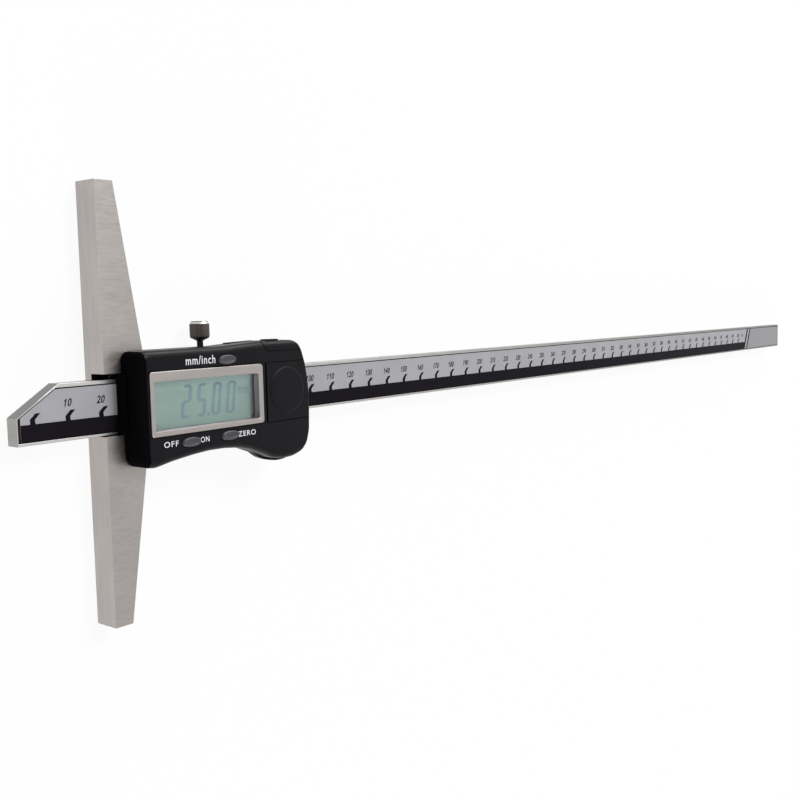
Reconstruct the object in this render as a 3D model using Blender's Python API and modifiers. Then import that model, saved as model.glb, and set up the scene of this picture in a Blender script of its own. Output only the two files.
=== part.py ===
"""Digital depth gauge, 0 to 500 mm, lying on its back.

The steel beam slides through a slotted cross bar and a slider frame. A plastic housing on
the frame holds the display, the buttons, the battery and the circuit board.

Lengths are in metres. +X runs along the beam from its measuring tip, +Y runs along the
cross bar and +Z points out of the display. The origin is under the middle of the beam, on
the plane that the gauge lies on.
"""
from math import cos, hypot, pi, radians, sin

import bmesh
import bpy
from mathutils import Vector

# Clearances
GAP = 0.0003
OVERRUN = 0.002
SLICE = 0.0001

# Beam: the sliding blade with its printed scale
BEAM_HEIGHT = 0.015
BEAM_THICKNESS = 0.0045
READING = 0.025
SCALE_LENGTH = 0.500
BEAM_TAIL = 0.0065
TIP_CUT_RUN = 0.0121
TIP_CUT_RISE = 0.0079
RECESS_DEPTH = 0.0014
LIP_TOP = 0.0011
LIP_BOTTOM = 0.00075
LIP_END = 0.0006
LIP_SLOPE = 0.0005
GRID_THICKNESS = 0.00045
LABEL_THICKNESS = 0.00025

# Cross bar: the base with the measuring face
BASE_LENGTH = 0.121
BASE_END_DEPTH = 0.00565
BASE_MID_DEPTH = 0.0128
BASE_SHOULDER = 0.0152
BASE_BACK_WALL = 0.0028
BASE_PROUD = 0.0009

# Slider frame: tongue, channel, rails and thumb rest
TONGUE_START = 0.0058
TONGUE_LENGTH = 0.0054
TONGUE_HALF = 0.0237
GIB_THICKNESS = 0.0009
RAIL_TOP_WIDTH = 0.0045
RAIL_BOTTOM_WIDTH = 0.0052
FRAME_END_MARGIN = 0.0014
THUMB_DROP = 0.0057

# Screws: shank radius, head radius and head height
BASE_SCREW = (0.0012, 0.0021, 0.0012)
HOUSING_SCREW = (0.0009, 0.0016, 0.0012)
BOARD_SCREW = (0.0007, 0.0013, 0.0007)
STOP_SCREW = (0.0008, 0.0014, 0.0009)
SCREW_SUNK = 0.0002
SCREW_SLOT = 0.0005
SCREW_BITE = 0.0035
SCREW_SIDES = 12
BOSS_SIDES = 20
ROUND_SIDES = 32
GIB_SCREW_RADIUS = 0.0012
GIB_SCREW_SUNK = 0.0006
GIB_SCREW_SPACING = 0.0050

# End stop under the far end of the beam
STOP_LENGTH = 0.008
STOP_WIDTH = 0.012
STOP_SCREW_SPACING = 0.007
STOP_SPARE = 0.0005
STOP_SCREW_REACH = 0.0020

# Lock screw
KNOB_RADIUS = 0.0029
KNOB_HEIGHT = 0.0040
KNOB_RIDGES = 20
KNOB_GROOVE_SHARE = 0.93
KNOB_CONE = 0.0011
KNOB_CROWN = 0.0009
KNOB_CROWN_SHARES = (0.80, 0.93)
KNOB_STAND = 0.0011
LOCK_SHANK_RADIUS = 0.00095
LOCK_OFFSET = 0.0303

# Housing: outline, walls and face
HOUSING_SETBACK = 0.0054
HOUSING_TOP = 0.0153
HOUSING_DROP = 0.0209
HOUSING_WALL = 0.0016
FACE_THICKNESS = 0.0016
FACE_FILLET = 0.0013
CHASSIS_THICKNESS = 0.0012
BOSS_RADIUS = 0.0020
BOSS_EMBED = 0.0002

# Display
BEZEL_MARGIN = 0.0035
BEZEL_LENGTH = 0.04075
BEZEL_HEIGHT = 0.0178
BEZEL_THICKNESS = 0.0009
BEZEL_PROUD = 0.0003
BEZEL_CENTRE_Y = 0.0003
BEZEL_CORNER = 0.0009
WINDOW_LENGTH = 0.0380
WINDOW_HEIGHT = 0.0135
WINDOW_SHIFT = -0.0002
WINDOW_DROP = 0.0006
LENS_THICKNESS = 0.0008
PANEL_THICKNESS = 0.0018
PANEL_BORDER = 0.0010
CONNECTOR_WIDTH = 0.0018
CONNECTOR_INSET = 0.0008
CONNECTOR_END = 0.0008

# Circuit board and what sits on it
BOARD_THICKNESS = 0.0010
BOARD_LENGTH = 0.0246
BOARD_START = 0.0143
BOARD_HALF = 0.0130
BOARD_ARM_LENGTH = 0.0177
BOARD_ARM_WIDTH = 0.0042
CHIP_LENGTH = 0.010
CHIP_WIDTH = 0.006
CHIP_HEIGHT = 0.0012
PORT_BLOCK_LENGTH = 0.0084
PORT_BLOCK_HEIGHT = 0.0037
PORT_BLOCK_INSET = 0.0013
PORT_BLOCK_WIDTH = 0.0033
DOME_RADIUS = 0.0017
DOME_HEIGHT = 0.0005

# Buttons
BUTTON_HALF_LENGTH = 0.0031
BUTTON_HALF_WIDTH = 0.00108
BUTTON_PROUD = 0.0006
BUTTON_TRAVEL = 0.0005
BUTTON_SPARE = 0.00015
BUTTON_FLANGE = 0.0006
BUTTON_FLANGE_THICKNESS = 0.0008
BUTTON_STEM_RADIUS = 0.0010
BUTTON_CROWN = 0.00045
BUTTON_SIDES = 20

# Battery, its contacts, well and cover
BATTERY_RADIUS = 0.0058
BATTERY_HEIGHT = 0.0054
BATTERY_CENTRE_SHARE = 0.4444
BATTERY_CENTRE_Y = 0.0003
WELL_FLOOR = 0.0005
WELL_CLEARANCE = 0.0012
WELL_WALL = 0.0005
WELL_SHORT = 0.0010
CONTACT_THICKNESS = 0.00025
CONTACT_WIDTH = 0.0020
CONTACT_SPACING = 0.0040
CONTACT_UPRIGHT = 0.0040
COVER_SEAM = 0.00185
COVER_LENGTH = 0.0189
COVER_HALF = 0.0091
COVER_THICKNESS = 0.00115
COVER_CLEARANCE = 0.0006
COVER_WALL = 0.0014
COVER_SKIRT = 0.0044
COVER_RIB = 0.0012
COVER_HOOK = 0.0008
COVER_HOOK_THICKNESS = 0.0010
COVER_RIB_LENGTH = 0.0090
DIMPLE_RADIUS = 0.0072
DIMPLE_DEPTH = 0.0003

# Data port cover at the top right corner
PORT_SETBACK = 0.0008
PORT_SLANT = 0.0017
PORT_DEPTH = 0.0031
PORT_LEDGE = 0.0016
PORT_RIDGE_LENGTH = 0.0068
PORT_RIDGE_HEIGHT = 0.0006
TOP_RIDGE_START = 0.0308
TOP_RIDGE_HEIGHT = 0.0004
TOP_RIDGE_DEPTH = 0.0016

# Levels, from the table up
BEAM_BACK_Z = BASE_BACK_WALL + GAP
BEAM_FRONT_Z = BEAM_BACK_Z + BEAM_THICKNESS
BEAM_MID_Z = BEAM_BACK_Z + BEAM_THICKNESS / 2
BASE_FRONT_Z = BEAM_FRONT_Z + BASE_PROUD
CHASSIS_BOTTOM_Z = BEAM_FRONT_Z + GAP
CHASSIS_TOP_Z = BASE_FRONT_Z + GAP + CHASSIS_THICKNESS
SHELL_BOTTOM_Z = CHASSIS_TOP_Z + GAP
BOARD_TOP_Z = CHASSIS_BOTTOM_Z + BOARD_THICKNESS
WELL_FLOOR_Z = CHASSIS_BOTTOM_Z + WELL_FLOOR
CONTACT_TOP_Z = WELL_FLOOR_Z + GAP + CONTACT_THICKNESS
BATTERY_TOP_Z = CONTACT_TOP_Z + GAP + BATTERY_HEIGHT
COVER_BOTTOM_Z = BATTERY_TOP_Z + COVER_CLEARANCE
FRONT_Z = COVER_BOTTOM_Z + COVER_THICKNESS
FACE_BACK_Z = FRONT_Z - FACE_THICKNESS
LENS_BOTTOM_Z = FACE_BACK_Z - GAP - LENS_THICKNESS
PANEL_TOP_Z = LENS_BOTTOM_Z - GAP
PANEL_BOTTOM_Z = PANEL_TOP_Z - PANEL_THICKNESS

# Places across the beam
BEAM_TOP_Y = BEAM_HEIGHT / 2
CHANNEL_BOTTOM_Y = -BEAM_TOP_Y - GAP
GIB_TOP_Y = BEAM_TOP_Y + GAP + GIB_THICKNESS
CHANNEL_TOP_Y = GIB_TOP_Y + GAP
RAIL_TOP_Y = CHANNEL_TOP_Y + RAIL_TOP_WIDTH
RAIL_BOTTOM_Y = CHANNEL_BOTTOM_Y - RAIL_BOTTOM_WIDTH
RAIL_TOP_MID_Y = (CHANNEL_TOP_Y + RAIL_TOP_Y) / 2
RAIL_BOTTOM_MID_Y = (CHANNEL_BOTTOM_Y + RAIL_BOTTOM_Y) / 2 - GAP

# Places along the beam, measured from the measuring face
HOUSING_LENGTH = BEZEL_MARGIN + BEZEL_LENGTH + COVER_SEAM + COVER_LENGTH
HOUSING_END = HOUSING_SETBACK + HOUSING_LENGTH
BEZEL_START = HOUSING_SETBACK + BEZEL_MARGIN
BEZEL_END = BEZEL_START + BEZEL_LENGTH
BEZEL_CENTRE = (BEZEL_START + BEZEL_END) / 2
COVER_START = BEZEL_END + COVER_SEAM
FRAME_START = BASE_MID_DEPTH + GAP
FRAME_END = HOUSING_END - FRAME_END_MARGIN
BATTERY_CENTRE = COVER_START + COVER_LENGTH * BATTERY_CENTRE_SHARE
PORT_START = COVER_START - PORT_SETBACK
STOP_START = FRAME_END + SCALE_LENGTH + STOP_SPARE
BEAM_LENGTH = STOP_START + STOP_LENGTH + BEAM_TAIL
BOARD_LEFT = HOUSING_SETBACK + BOARD_START
BOARD_RIGHT = BOARD_LEFT + BOARD_LENGTH
ARM_RIGHT = BOARD_RIGHT + BOARD_ARM_LENGTH
COVER_MID_Y = BATTERY_CENTRE_Y

# The housing's outline, anticlockwise from its top left corner: shares of the housing's
# length, and of its height above the beam's centre line or below it
OUTLINE_LEFT_SHARES = [(0, 1), (0, -0.66), (0.008, -0.745), (0.030, -0.805), (0.075, -0.825)]
OUTLINE_SCOOP_SHARES = [(0.17, -0.77), (0.28, -0.727), (0.37, -0.705), (0.46, -0.708),
                        (0.55, -0.735), (0.62, -0.785), (0.69, -0.87), (0.755, -0.965)]
OUTLINE_LOBE_SHARES = [(0.82, -1), (0.885, -0.98), (0.945, -0.915), (0.979, -0.80),
                       (0.993, -0.62), (1, -0.32)]
OUTLINE_RIGHT_SHARES = [(1, -0.04), (0.988, 0.24), (0.971, 0.56), (0.948, 0.83),
                        (0.922, 0.985), (0.882, 1.035)]
OUTLINE_TOP_SHARES = [(0.70, 1.045), (0.46, 1.004)]
THUMB_RIM_SHARES = [(0.98, -0.60), (0.69, -0.60), (0.69, -0.87), (0.74, -0.975),
                    (0.79, -1.03), (0.85, -1.065), (0.90, -1.06), (0.945, -1.0), (0.98, -0.85)]

# Places of the buttons, as shares of the board's length and of the housing's height, and of
# the screws on the rails, as shares of the board's length
BUTTON_PLACE_SHARES = {
    "button_unit": (0.671, 0.732),
    "button_power": (0.098, -0.536),
    "button_zero": (0.679, -0.524),
}
BOARD_SCREW_TOP_SHARES = (0.155, 0.906)
BOARD_SCREW_BOTTOM_SHARES = (0.390, 0.906)
THUMB_SHARES = [(0.60, 0), (0.70, 0.50), (0.79, 1), (0.89, 1), (0.955, 0.45)]
FRAME_CORNER_SHARES = (0.90, 0.56)

# Colours and finish: base colour, metallic and roughness
FINISHES = {
    "ground_steel": ((0.45, 0.43, 0.42), 1.0, 0.35),
    "beam_steel": ((0.60, 0.59, 0.56), 1.0, 0.30),
    "frame_steel": ((0.42, 0.42, 0.42), 1.0, 0.40),
    "black_plastic": ((0.018, 0.017, 0.020), 0.0, 0.42),
    "scale_film": ((0.40, 0.40, 0.42), 0.0, 0.50),
    "board_green": ((0.03, 0.16, 0.07), 0.0, 0.45),
    "brass": ((0.60, 0.44, 0.18), 1.0, 0.35),
    "screw_steel": ((0.50, 0.50, 0.50), 1.0, 0.30),
    "dark_steel": ((0.10, 0.09, 0.085), 1.0, 0.45),
    "silver_plate": ((0.45, 0.42, 0.40), 0.9, 0.35),
    "clear_lens": ((0.90, 0.93, 0.92), 0.0, 0.05),
    "lcd_glass": ((0.26, 0.35, 0.31), 0.0, 0.25),
    "elastomer": ((0.20, 0.20, 0.21), 0.0, 0.70),
    "chip_epoxy": ((0.02, 0.02, 0.02), 0.0, 0.60),
    "nickel": ((0.62, 0.60, 0.55), 1.0, 0.25),
    "button_grey": ((0.12, 0.12, 0.13), 0.0, 0.40),
}


def clear_scene():
    """Remove what the scene starts with and make the two collections."""
    for item in list(bpy.data.objects):
        bpy.data.objects.remove(item, do_unlink=True)
    for name in ("depth_gauge", "cutters"):
        collection = bpy.data.collections.new(name)
        bpy.context.scene.collection.children.link(collection)


def make_material(name):
    """Return the named material, made from its finish the first time it is asked for."""
    if name in bpy.data.materials:
        return bpy.data.materials[name]
    colour, metallic, roughness = FINISHES[name]
    material = bpy.data.materials.new(name)
    material.use_nodes = True
    shader = material.node_tree.nodes["Principled BSDF"]
    shader.inputs["Base Color"].default_value = (*colour, 1)
    shader.inputs["Metallic"].default_value = metallic
    shader.inputs["Roughness"].default_value = roughness
    return material


def make_home(name, place):
    """Return an empty that a group of pieces is placed from."""
    home = bpy.data.objects.new(name, None)
    home.location = place
    bpy.data.collections["depth_gauge"].objects.link(home)
    return home


def place_mesh(name, bm, home, place, finish=None):
    """Turn a bmesh into an object of the gauge, or into a cutter where it has no finish."""
    mesh = bpy.data.meshes.new(name)
    bmesh.ops.recalc_face_normals(bm, faces=bm.faces)
    bm.to_mesh(mesh)
    bm.free()
    item = bpy.data.objects.new(name, mesh)
    item.parent = home
    item.location = place
    if finish:
        mesh.materials.append(make_material(finish))
        bpy.data.collections["depth_gauge"].objects.link(item)
    else:
        item.display_type = 'WIRE'
        item.hide_render = True
        bpy.data.collections["cutters"].objects.link(item)
    return item


def box(name, low, high, home, finish=None):
    """A block between two corners, with its origin at its middle."""
    low, high = Vector(low), Vector(high)
    bm = bmesh.new()
    bmesh.ops.create_cube(bm, size=1)
    bmesh.ops.scale(bm, vec=high - low, verts=bm.verts)
    return place_mesh(name, bm, home, (low + high) / 2, finish)


def cylinder(name, radius, bottom, top, place, home, finish=None, sides=BOSS_SIDES):
    """An upright cylinder over a place on the plane."""
    bm = bmesh.new()
    bmesh.ops.create_cone(bm, cap_ends=True, segments=sides, radius1=radius, radius2=radius,
                          depth=top - bottom)
    return place_mesh(name, bm, home, (*place, (bottom + top) / 2), finish)


def plate(name, outline, bottom, top, home, finish=None, rim=None):
    """A flat outline with a thickness; rim is the radius that rounds its upper edge."""
    curve = bpy.data.curves.new(name, 'CURVE')
    curve.dimensions = '2D'
    curve.fill_mode = 'BOTH'
    curve.extrude = (top - bottom) / 2
    spline = curve.splines.new('POLY')
    spline.points.add(len(outline) - 1)
    for point, (x, y) in zip(spline.points, outline):
        point.co = (x, y, 0, 1)
    spline.use_cyclic_u = True
    flat = bpy.data.objects.new(name, curve)
    bpy.context.scene.collection.objects.link(flat)
    seen = flat.evaluated_get(bpy.context.evaluated_depsgraph_get())
    mesh = bpy.data.meshes.new_from_object(seen)
    bpy.data.objects.remove(flat)
    bm = bmesh.new()
    bm.from_mesh(mesh)
    bmesh.ops.remove_doubles(bm, verts=bm.verts, dist=SLICE / 10)
    bmesh.ops.dissolve_limit(bm, angle_limit=radians(1), verts=bm.verts, edges=bm.edges)
    if rim:
        weights = bm.edges.layers.float.new("bevel_weight_edge")
        for edge in bm.edges:
            edge[weights] = float(all(vert.co.z > 0 for vert in edge.verts))
    item = place_mesh(name, bm, home, (0, 0, (bottom + top) / 2), finish)
    if rim:
        bevel = item.modifiers.new("rim", 'BEVEL')
        bevel.limit_method = 'WEIGHT'
        bevel.width = rim
        bevel.segments = 3
    return item


def turned(name, profile, place, home, finish=None, sides=BOSS_SIDES):
    """A turned shape about Z from a profile of (radius, height), listed top to bottom."""
    bm = bmesh.new()
    verts = [bm.verts.new((radius, 0, height)) for radius, height in profile]
    for upper, lower in zip(verts, verts[1:]):
        bm.edges.new((upper, lower))
    item = place_mesh(name, bm, home, place, finish)
    screw = item.modifiers.new("turn", 'SCREW')
    screw.axis = 'Z'
    screw.steps = sides
    screw.render_steps = sides
    screw.use_merge_vertices = True
    screw.merge_threshold = SLICE / 10
    return item


def cut(item, *cutters, operation='DIFFERENCE'):
    """Cut shapes out of a piece, or join them to it with the operation UNION."""
    for cutter in cutters:
        boolean = item.modifiers.new(cutter.name, 'BOOLEAN')
        boolean.operation = operation
        boolean.object = cutter


def join(item, *others):
    """Join shapes to a piece as one body."""
    cut(item, *others, operation='UNION')


def soften(item, width, segments=1):
    """Break a piece's sharp edges."""
    bevel = item.modifiers.new("edges", 'BEVEL')
    bevel.width = width
    bevel.segments = segments
    bevel.limit_method = 'ANGLE'
    bevel.angle_limit = radians(50)


def rounded_rectangle(start, end, low, high, radius, steps=3):
    """The outline of a rectangle with round corners."""
    corners = [(end - radius, high - radius, 0), (start + radius, high - radius, 1),
               (start + radius, low + radius, 2), (end - radius, low + radius, 3)]
    outline = []
    for x, y, quarter in corners:
        for step in range(steps + 1):
            angle = (quarter + step / steps) * pi / 2
            outline.append((x + radius * cos(angle), y + radius * sin(angle)))
    return outline


def inset(outline, distance):
    """Move an anticlockwise outline inward by one distance all round."""
    moved = []
    for index, (x, y) in enumerate(outline):
        before = Vector(outline[index - 1])
        after = Vector(outline[(index + 1) % len(outline)])
        here = Vector((x, y))
        first = (here - before).normalized()
        second = (after - here).normalized()
        inward = Vector((-first.y - second.y, first.x + second.x)).normalized()
        lean = max(0.5, inward.dot(Vector((-first.y, first.x))))
        moved.append(tuple(here + inward * (distance / lean)))
    return moved


def housing_points(shares):
    """Turn shares of the housing's length and height into places."""
    return [(HOUSING_SETBACK + across * HOUSING_LENGTH,
             up * (HOUSING_TOP if up > 0 else HOUSING_DROP)) for across, up in shares]


def housing_outline():
    """The housing's outline, anticlockwise."""
    return housing_points(OUTLINE_LEFT_SHARES + OUTLINE_SCOOP_SHARES + OUTLINE_LOBE_SHARES
                          + OUTLINE_RIGHT_SHARES + OUTLINE_TOP_SHARES)


def screw(name, size, reach, place, home, material="screw_steel"):
    """A cap screw that points up from the gauge's back, with a slot across its head."""
    shank, head, head_height = size
    bottom = SCREW_SUNK
    profile = [(0, reach), (shank, reach), (shank, bottom + head_height),
               (head, bottom + head_height), (head, bottom), (0, bottom)]
    item = turned(name, profile, (*place, 0), home, material, sides=SCREW_SIDES)
    slot = box(name + "_slot", (place[0] - head - OVERRUN, place[1] - SCREW_SLOT / 2, 0),
               (place[0] + head + OVERRUN, place[1] + SCREW_SLOT / 2, bottom + head_height / 2),
               home)
    cut(item, slot)
    return item


def screw_seat(name, size, reach, place, home):
    """The cutter for a screw's hole and the sunk seat of its head."""
    shank, head, head_height = size
    seat = SCREW_SUNK + head_height + GAP
    profile = [(0, reach + GAP), (shank + GAP, reach + GAP), (shank + GAP, seat),
               (head + GAP, seat), (head + GAP, -OVERRUN), (0, -OVERRUN)]
    return turned(name, profile, (*place, 0), home, sides=SCREW_SIDES)


def recess_outline(margin):
    """The outline of the beam's recess, or of a strip that lies in it with a margin."""
    half = BEAM_HEIGHT / 2
    slope = TIP_CUT_RISE / TIP_CUT_RUN
    shift = (LIP_SLOPE + margin) * hypot(1, slope)
    left = LIP_END + margin
    right = BEAM_LENGTH - LIP_END - margin
    low = -half + LIP_BOTTOM + margin
    high = half - LIP_TOP - margin
    start = half - TIP_CUT_RISE - shift
    return [(left, low), (right, low), (right, high), ((high - start) / slope, high),
            (left, start + slope * left)]


def make_beam(home):
    """The steel beam, with its cut tip, its recess and the holes for the stop's screws."""
    half = BEAM_HEIGHT / 2
    outline = [(0, -half), (BEAM_LENGTH, -half), (BEAM_LENGTH, half), (TIP_CUT_RUN, half),
               (0, half - TIP_CUT_RISE)]
    beam = plate("beam", outline, 0, BEAM_THICKNESS, home, "beam_steel")
    floor = BEAM_THICKNESS - RECESS_DEPTH
    cut(beam, plate("beam_recess", recess_outline(0), floor, BEAM_THICKNESS + OVERRUN, home))
    for number, y in enumerate(stop_screw_places(), start=1):
        cut(beam, cylinder(f"stop_tap_{number}", STOP_SCREW[0] + GAP, -OVERRUN,
                           STOP_SCREW_REACH + GAP, (stop_centre(), y), home, sides=SCREW_SIDES))
    grid_top = floor + GAP + GRID_THICKNESS
    plate("grid_strip", recess_outline(GAP), floor + GAP, grid_top, home, "board_green")
    plate("scale_label", recess_outline(GAP), grid_top + GAP,
          grid_top + GAP + LABEL_THICKNESS, home, "scale_film")


def stop_centre():
    """The end stop's middle, from the beam's tip."""
    return STOP_START + STOP_LENGTH / 2


def stop_screw_places():
    """The two sides that the end stop's screws sit on."""
    return (-STOP_SCREW_SPACING / 2, STOP_SCREW_SPACING / 2)


def make_end_stop(home):
    """The block under the far end that stops the beam at the end of its travel."""
    middle = stop_centre()
    table = -BEAM_BACK_Z
    stop = box("end_stop", (middle - STOP_LENGTH / 2, -STOP_WIDTH / 2, table),
               (middle + STOP_LENGTH / 2, STOP_WIDTH / 2, -GAP), home, "frame_steel")
    below = make_home("end_stop_home", (0, 0, table))
    below.parent = home
    reach = BEAM_BACK_Z + STOP_SCREW_REACH
    for number, y in enumerate(stop_screw_places(), start=1):
        screw(f"end_stop_screw_{number}", STOP_SCREW, reach, (middle, y), below)
        cut(stop, screw_seat(f"stop_seat_{number}", STOP_SCREW, reach, (middle, y), below))


def base_screw_places():
    """Where the four screws join the frame's tongue to the cross bar."""
    x = TONGUE_START + TONGUE_LENGTH / 2
    far = TONGUE_HALF - BASE_SCREW[1] - SCREW_BITE / 2
    near = CHANNEL_TOP_Y + BASE_SCREW[1] + GAP * 2
    return [(x, side * y) for side in (-1, 1) for y in (near, far)]


def make_base(home):
    """The cross bar, slotted for the beam and rebated at the back for the frame."""
    half = BASE_LENGTH / 2
    outline = [(0, -half), (BASE_END_DEPTH, -half), (BASE_MID_DEPTH, -BASE_SHOULDER),
               (BASE_MID_DEPTH, BASE_SHOULDER), (BASE_END_DEPTH, half), (0, half)]
    base = plate("base_bar", outline, 0, BASE_FRONT_Z, home, "ground_steel")
    edge = BASE_MID_DEPTH + OVERRUN
    cut(base, box("base_slot", (-OVERRUN, CHANNEL_BOTTOM_Y, BASE_BACK_WALL),
                  (edge, CHANNEL_TOP_Y, BASE_FRONT_Z + OVERRUN), home))
    cut(base, box("base_rebate", (TONGUE_START - GAP, -TONGUE_HALF - GAP, -OVERRUN),
                  (edge, TONGUE_HALF + GAP, BASE_BACK_WALL + GAP), home))
    reach = BASE_BACK_WALL + SCREW_BITE
    for number, place in enumerate(base_screw_places(), start=1):
        screw(f"base_screw_{number}", BASE_SCREW, reach, place, home)
        cut(base, cylinder(f"base_tap_{number}", BASE_SCREW[0] + GAP, BASE_BACK_WALL - OVERRUN,
                           reach + GAP, place, home, sides=SCREW_SIDES))


def housing_screw_places():
    """Where the four screws join the housing to the frame."""
    left = FRAME_START + HOUSING_SCREW[1] + GAP * 2
    lobe = RAIL_BOTTOM_Y - THUMB_DROP / 2 + HOUSING_SCREW[1]
    return [(left, RAIL_BOTTOM_MID_Y), (left, RAIL_TOP_MID_Y),
            (BOARD_RIGHT + BOSS_RADIUS + BOARD_SCREW[1], RAIL_TOP_MID_Y),
            (BATTERY_CENTRE + BOSS_RADIUS * 2, lobe)]


def board_screw_places():
    """Where the four screws join the circuit board to the rails."""
    top = [(BOARD_LEFT + share * BOARD_LENGTH, RAIL_TOP_MID_Y)
           for share in BOARD_SCREW_TOP_SHARES]
    bottom = [(BOARD_LEFT + share * BOARD_LENGTH, RAIL_BOTTOM_MID_Y)
              for share in BOARD_SCREW_BOTTOM_SHARES]
    return top + bottom


def lock_place():
    """The lock screw's place along the beam."""
    return HOUSING_SETBACK + LOCK_OFFSET


def gib_screw_places():
    """The two places of the gib screws along the beam, each beside another of the rail's."""
    beside = (board_screw_places()[0], housing_screw_places()[2])
    return [x + GIB_SCREW_SPACING for x, y in beside]


def frame_outline():
    """The slider frame's outline: tongue, rails and thumb rest, anticlockwise."""
    tongue_end = TONGUE_START + TONGUE_LENGTH
    thumb = [(HOUSING_SETBACK + across * HOUSING_LENGTH, RAIL_BOTTOM_Y - drop * THUMB_DROP)
             for across, drop in THUMB_SHARES]
    corner_x, corner_y = FRAME_CORNER_SHARES
    return [(TONGUE_START, -TONGUE_HALF), (tongue_end, -TONGUE_HALF),
            (tongue_end, RAIL_BOTTOM_Y), *thumb, (FRAME_END, RAIL_BOTTOM_Y + RAIL_BOTTOM_WIDTH / 2),
            (FRAME_END, RAIL_TOP_Y * corner_y),
            (HOUSING_SETBACK + HOUSING_LENGTH * corner_x, RAIL_TOP_Y),
            (tongue_end, RAIL_TOP_Y), (tongue_end, TONGUE_HALF), (TONGUE_START, TONGUE_HALF)]


def along_y(name, radius, start, end, x, home, finish=None):
    """A cylinder along Y at the beam's middle height."""
    rod = cylinder(name, radius, -(end - start) / 2, (end - start) / 2, (x, 0), home, finish,
                   sides=SCREW_SIDES)
    rod.rotation_euler.x = radians(90)
    rod.location = (x, (start + end) / 2, BEAM_MID_Z)
    return rod


def make_frame(home):
    """The slider frame, a channel that the beam runs in, with its gib and gib screws."""
    frame = plate("slider_frame", frame_outline(), 0, BEAM_FRONT_Z, home, "frame_steel")
    top = BEAM_FRONT_Z + OVERRUN
    cut(frame, box("frame_channel", (0, CHANNEL_BOTTOM_Y, BASE_BACK_WALL),
                   (FRAME_END + OVERRUN, CHANNEL_TOP_Y, top), home))
    cut(frame, box("frame_step", (0, -TONGUE_HALF - OVERRUN, BASE_BACK_WALL),
                   (FRAME_START, TONGUE_HALF + OVERRUN, top), home))
    for number, place in enumerate(base_screw_places(), start=1):
        cut(frame, screw_seat(f"base_seat_{number}", BASE_SCREW, top, place, home))
    for number, place in enumerate(housing_screw_places(), start=1):
        cut(frame, screw_seat(f"housing_seat_{number}", HOUSING_SCREW, top, place, home))
    for number, place in enumerate(board_screw_places(), start=1):
        cut(frame, cylinder(f"board_tap_{number}", BOARD_SCREW[0] + GAP,
                            BEAM_FRONT_Z - SCREW_BITE - GAP, top, place, home, sides=SCREW_SIDES))
    cut(frame, along_y("lock_tap", LOCK_SHANK_RADIUS + GAP, GIB_TOP_Y, RAIL_TOP_Y + OVERRUN,
                       lock_place(), home))
    box("gib_strip", (FRAME_START + GAP, BEAM_TOP_Y + GAP, BASE_BACK_WALL + GAP * 2),
        (FRAME_END - GAP, GIB_TOP_Y, BEAM_FRONT_Z - GAP), home, "brass")
    for number, x in enumerate(gib_screw_places(), start=1):
        cut(frame, along_y(f"gib_tap_{number}", GIB_SCREW_RADIUS + GAP, GIB_TOP_Y,
                           RAIL_TOP_Y + OVERRUN, x, home))
        grub = along_y(f"gib_screw_{number}", GIB_SCREW_RADIUS, CHANNEL_TOP_Y,
                       RAIL_TOP_Y - GIB_SCREW_SUNK, x, home, "dark_steel")
        slot_low = RAIL_TOP_Y - GIB_SCREW_SUNK - SCREW_SLOT
        cut(grub, box(f"gib_slot_{number}",
                      (x - GIB_SCREW_RADIUS * 2, slot_low, BEAM_MID_Z - SCREW_SLOT / 2),
                      (x + GIB_SCREW_RADIUS * 2, RAIL_TOP_Y, BEAM_MID_Z + SCREW_SLOT / 2), home))


def make_lock_screw(home):
    """The lock screw with its knurled head; its origin is on its axis at the rail's top."""
    seat = HOUSING_TOP - RAIL_TOP_Y
    cone_low = seat + KNOB_STAND
    low = cone_low + KNOB_CONE
    high = low + KNOB_HEIGHT
    tip = CHANNEL_TOP_Y - RAIL_TOP_Y
    bm = bmesh.new()
    bmesh.ops.create_cone(bm, cap_ends=True, segments=KNOB_RIDGES * 2, radius1=KNOB_RADIUS,
                          radius2=KNOB_RADIUS, depth=high - low)
    for vert in bm.verts:
        ridge = round((vert.co.xy.angle_signed(Vector((1, 0))) % (2 * pi)) * KNOB_RIDGES / pi)
        if ridge % 2:
            vert.co.xy *= KNOB_GROOVE_SHARE
    bmesh.ops.translate(bm, vec=(0, 0, (low + high) / 2), verts=bm.verts)
    place = (lock_place(), RAIL_TOP_Y, BEAM_MID_Z)
    knob = place_mesh("lock_screw", bm, home, place, "dark_steel")
    crown, shoulder = (KNOB_RADIUS * share * KNOB_GROOVE_SHARE for share in KNOB_CROWN_SHARES)
    profile = [(0, high + KNOB_CROWN), (crown, high + KNOB_CROWN), (shoulder, high - SLICE),
               (shoulder, low), (LOCK_SHANK_RADIUS, cone_low), (LOCK_SHANK_RADIUS, tip),
               (0, tip)]
    core = turned("lock_core", profile, place, home)
    for item in (knob, core):
        item.rotation_euler.x = radians(-90)
    join(knob, core)


def battery_place():
    """The battery's centre."""
    return (BATTERY_CENTRE, BATTERY_CENTRE_Y)


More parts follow.
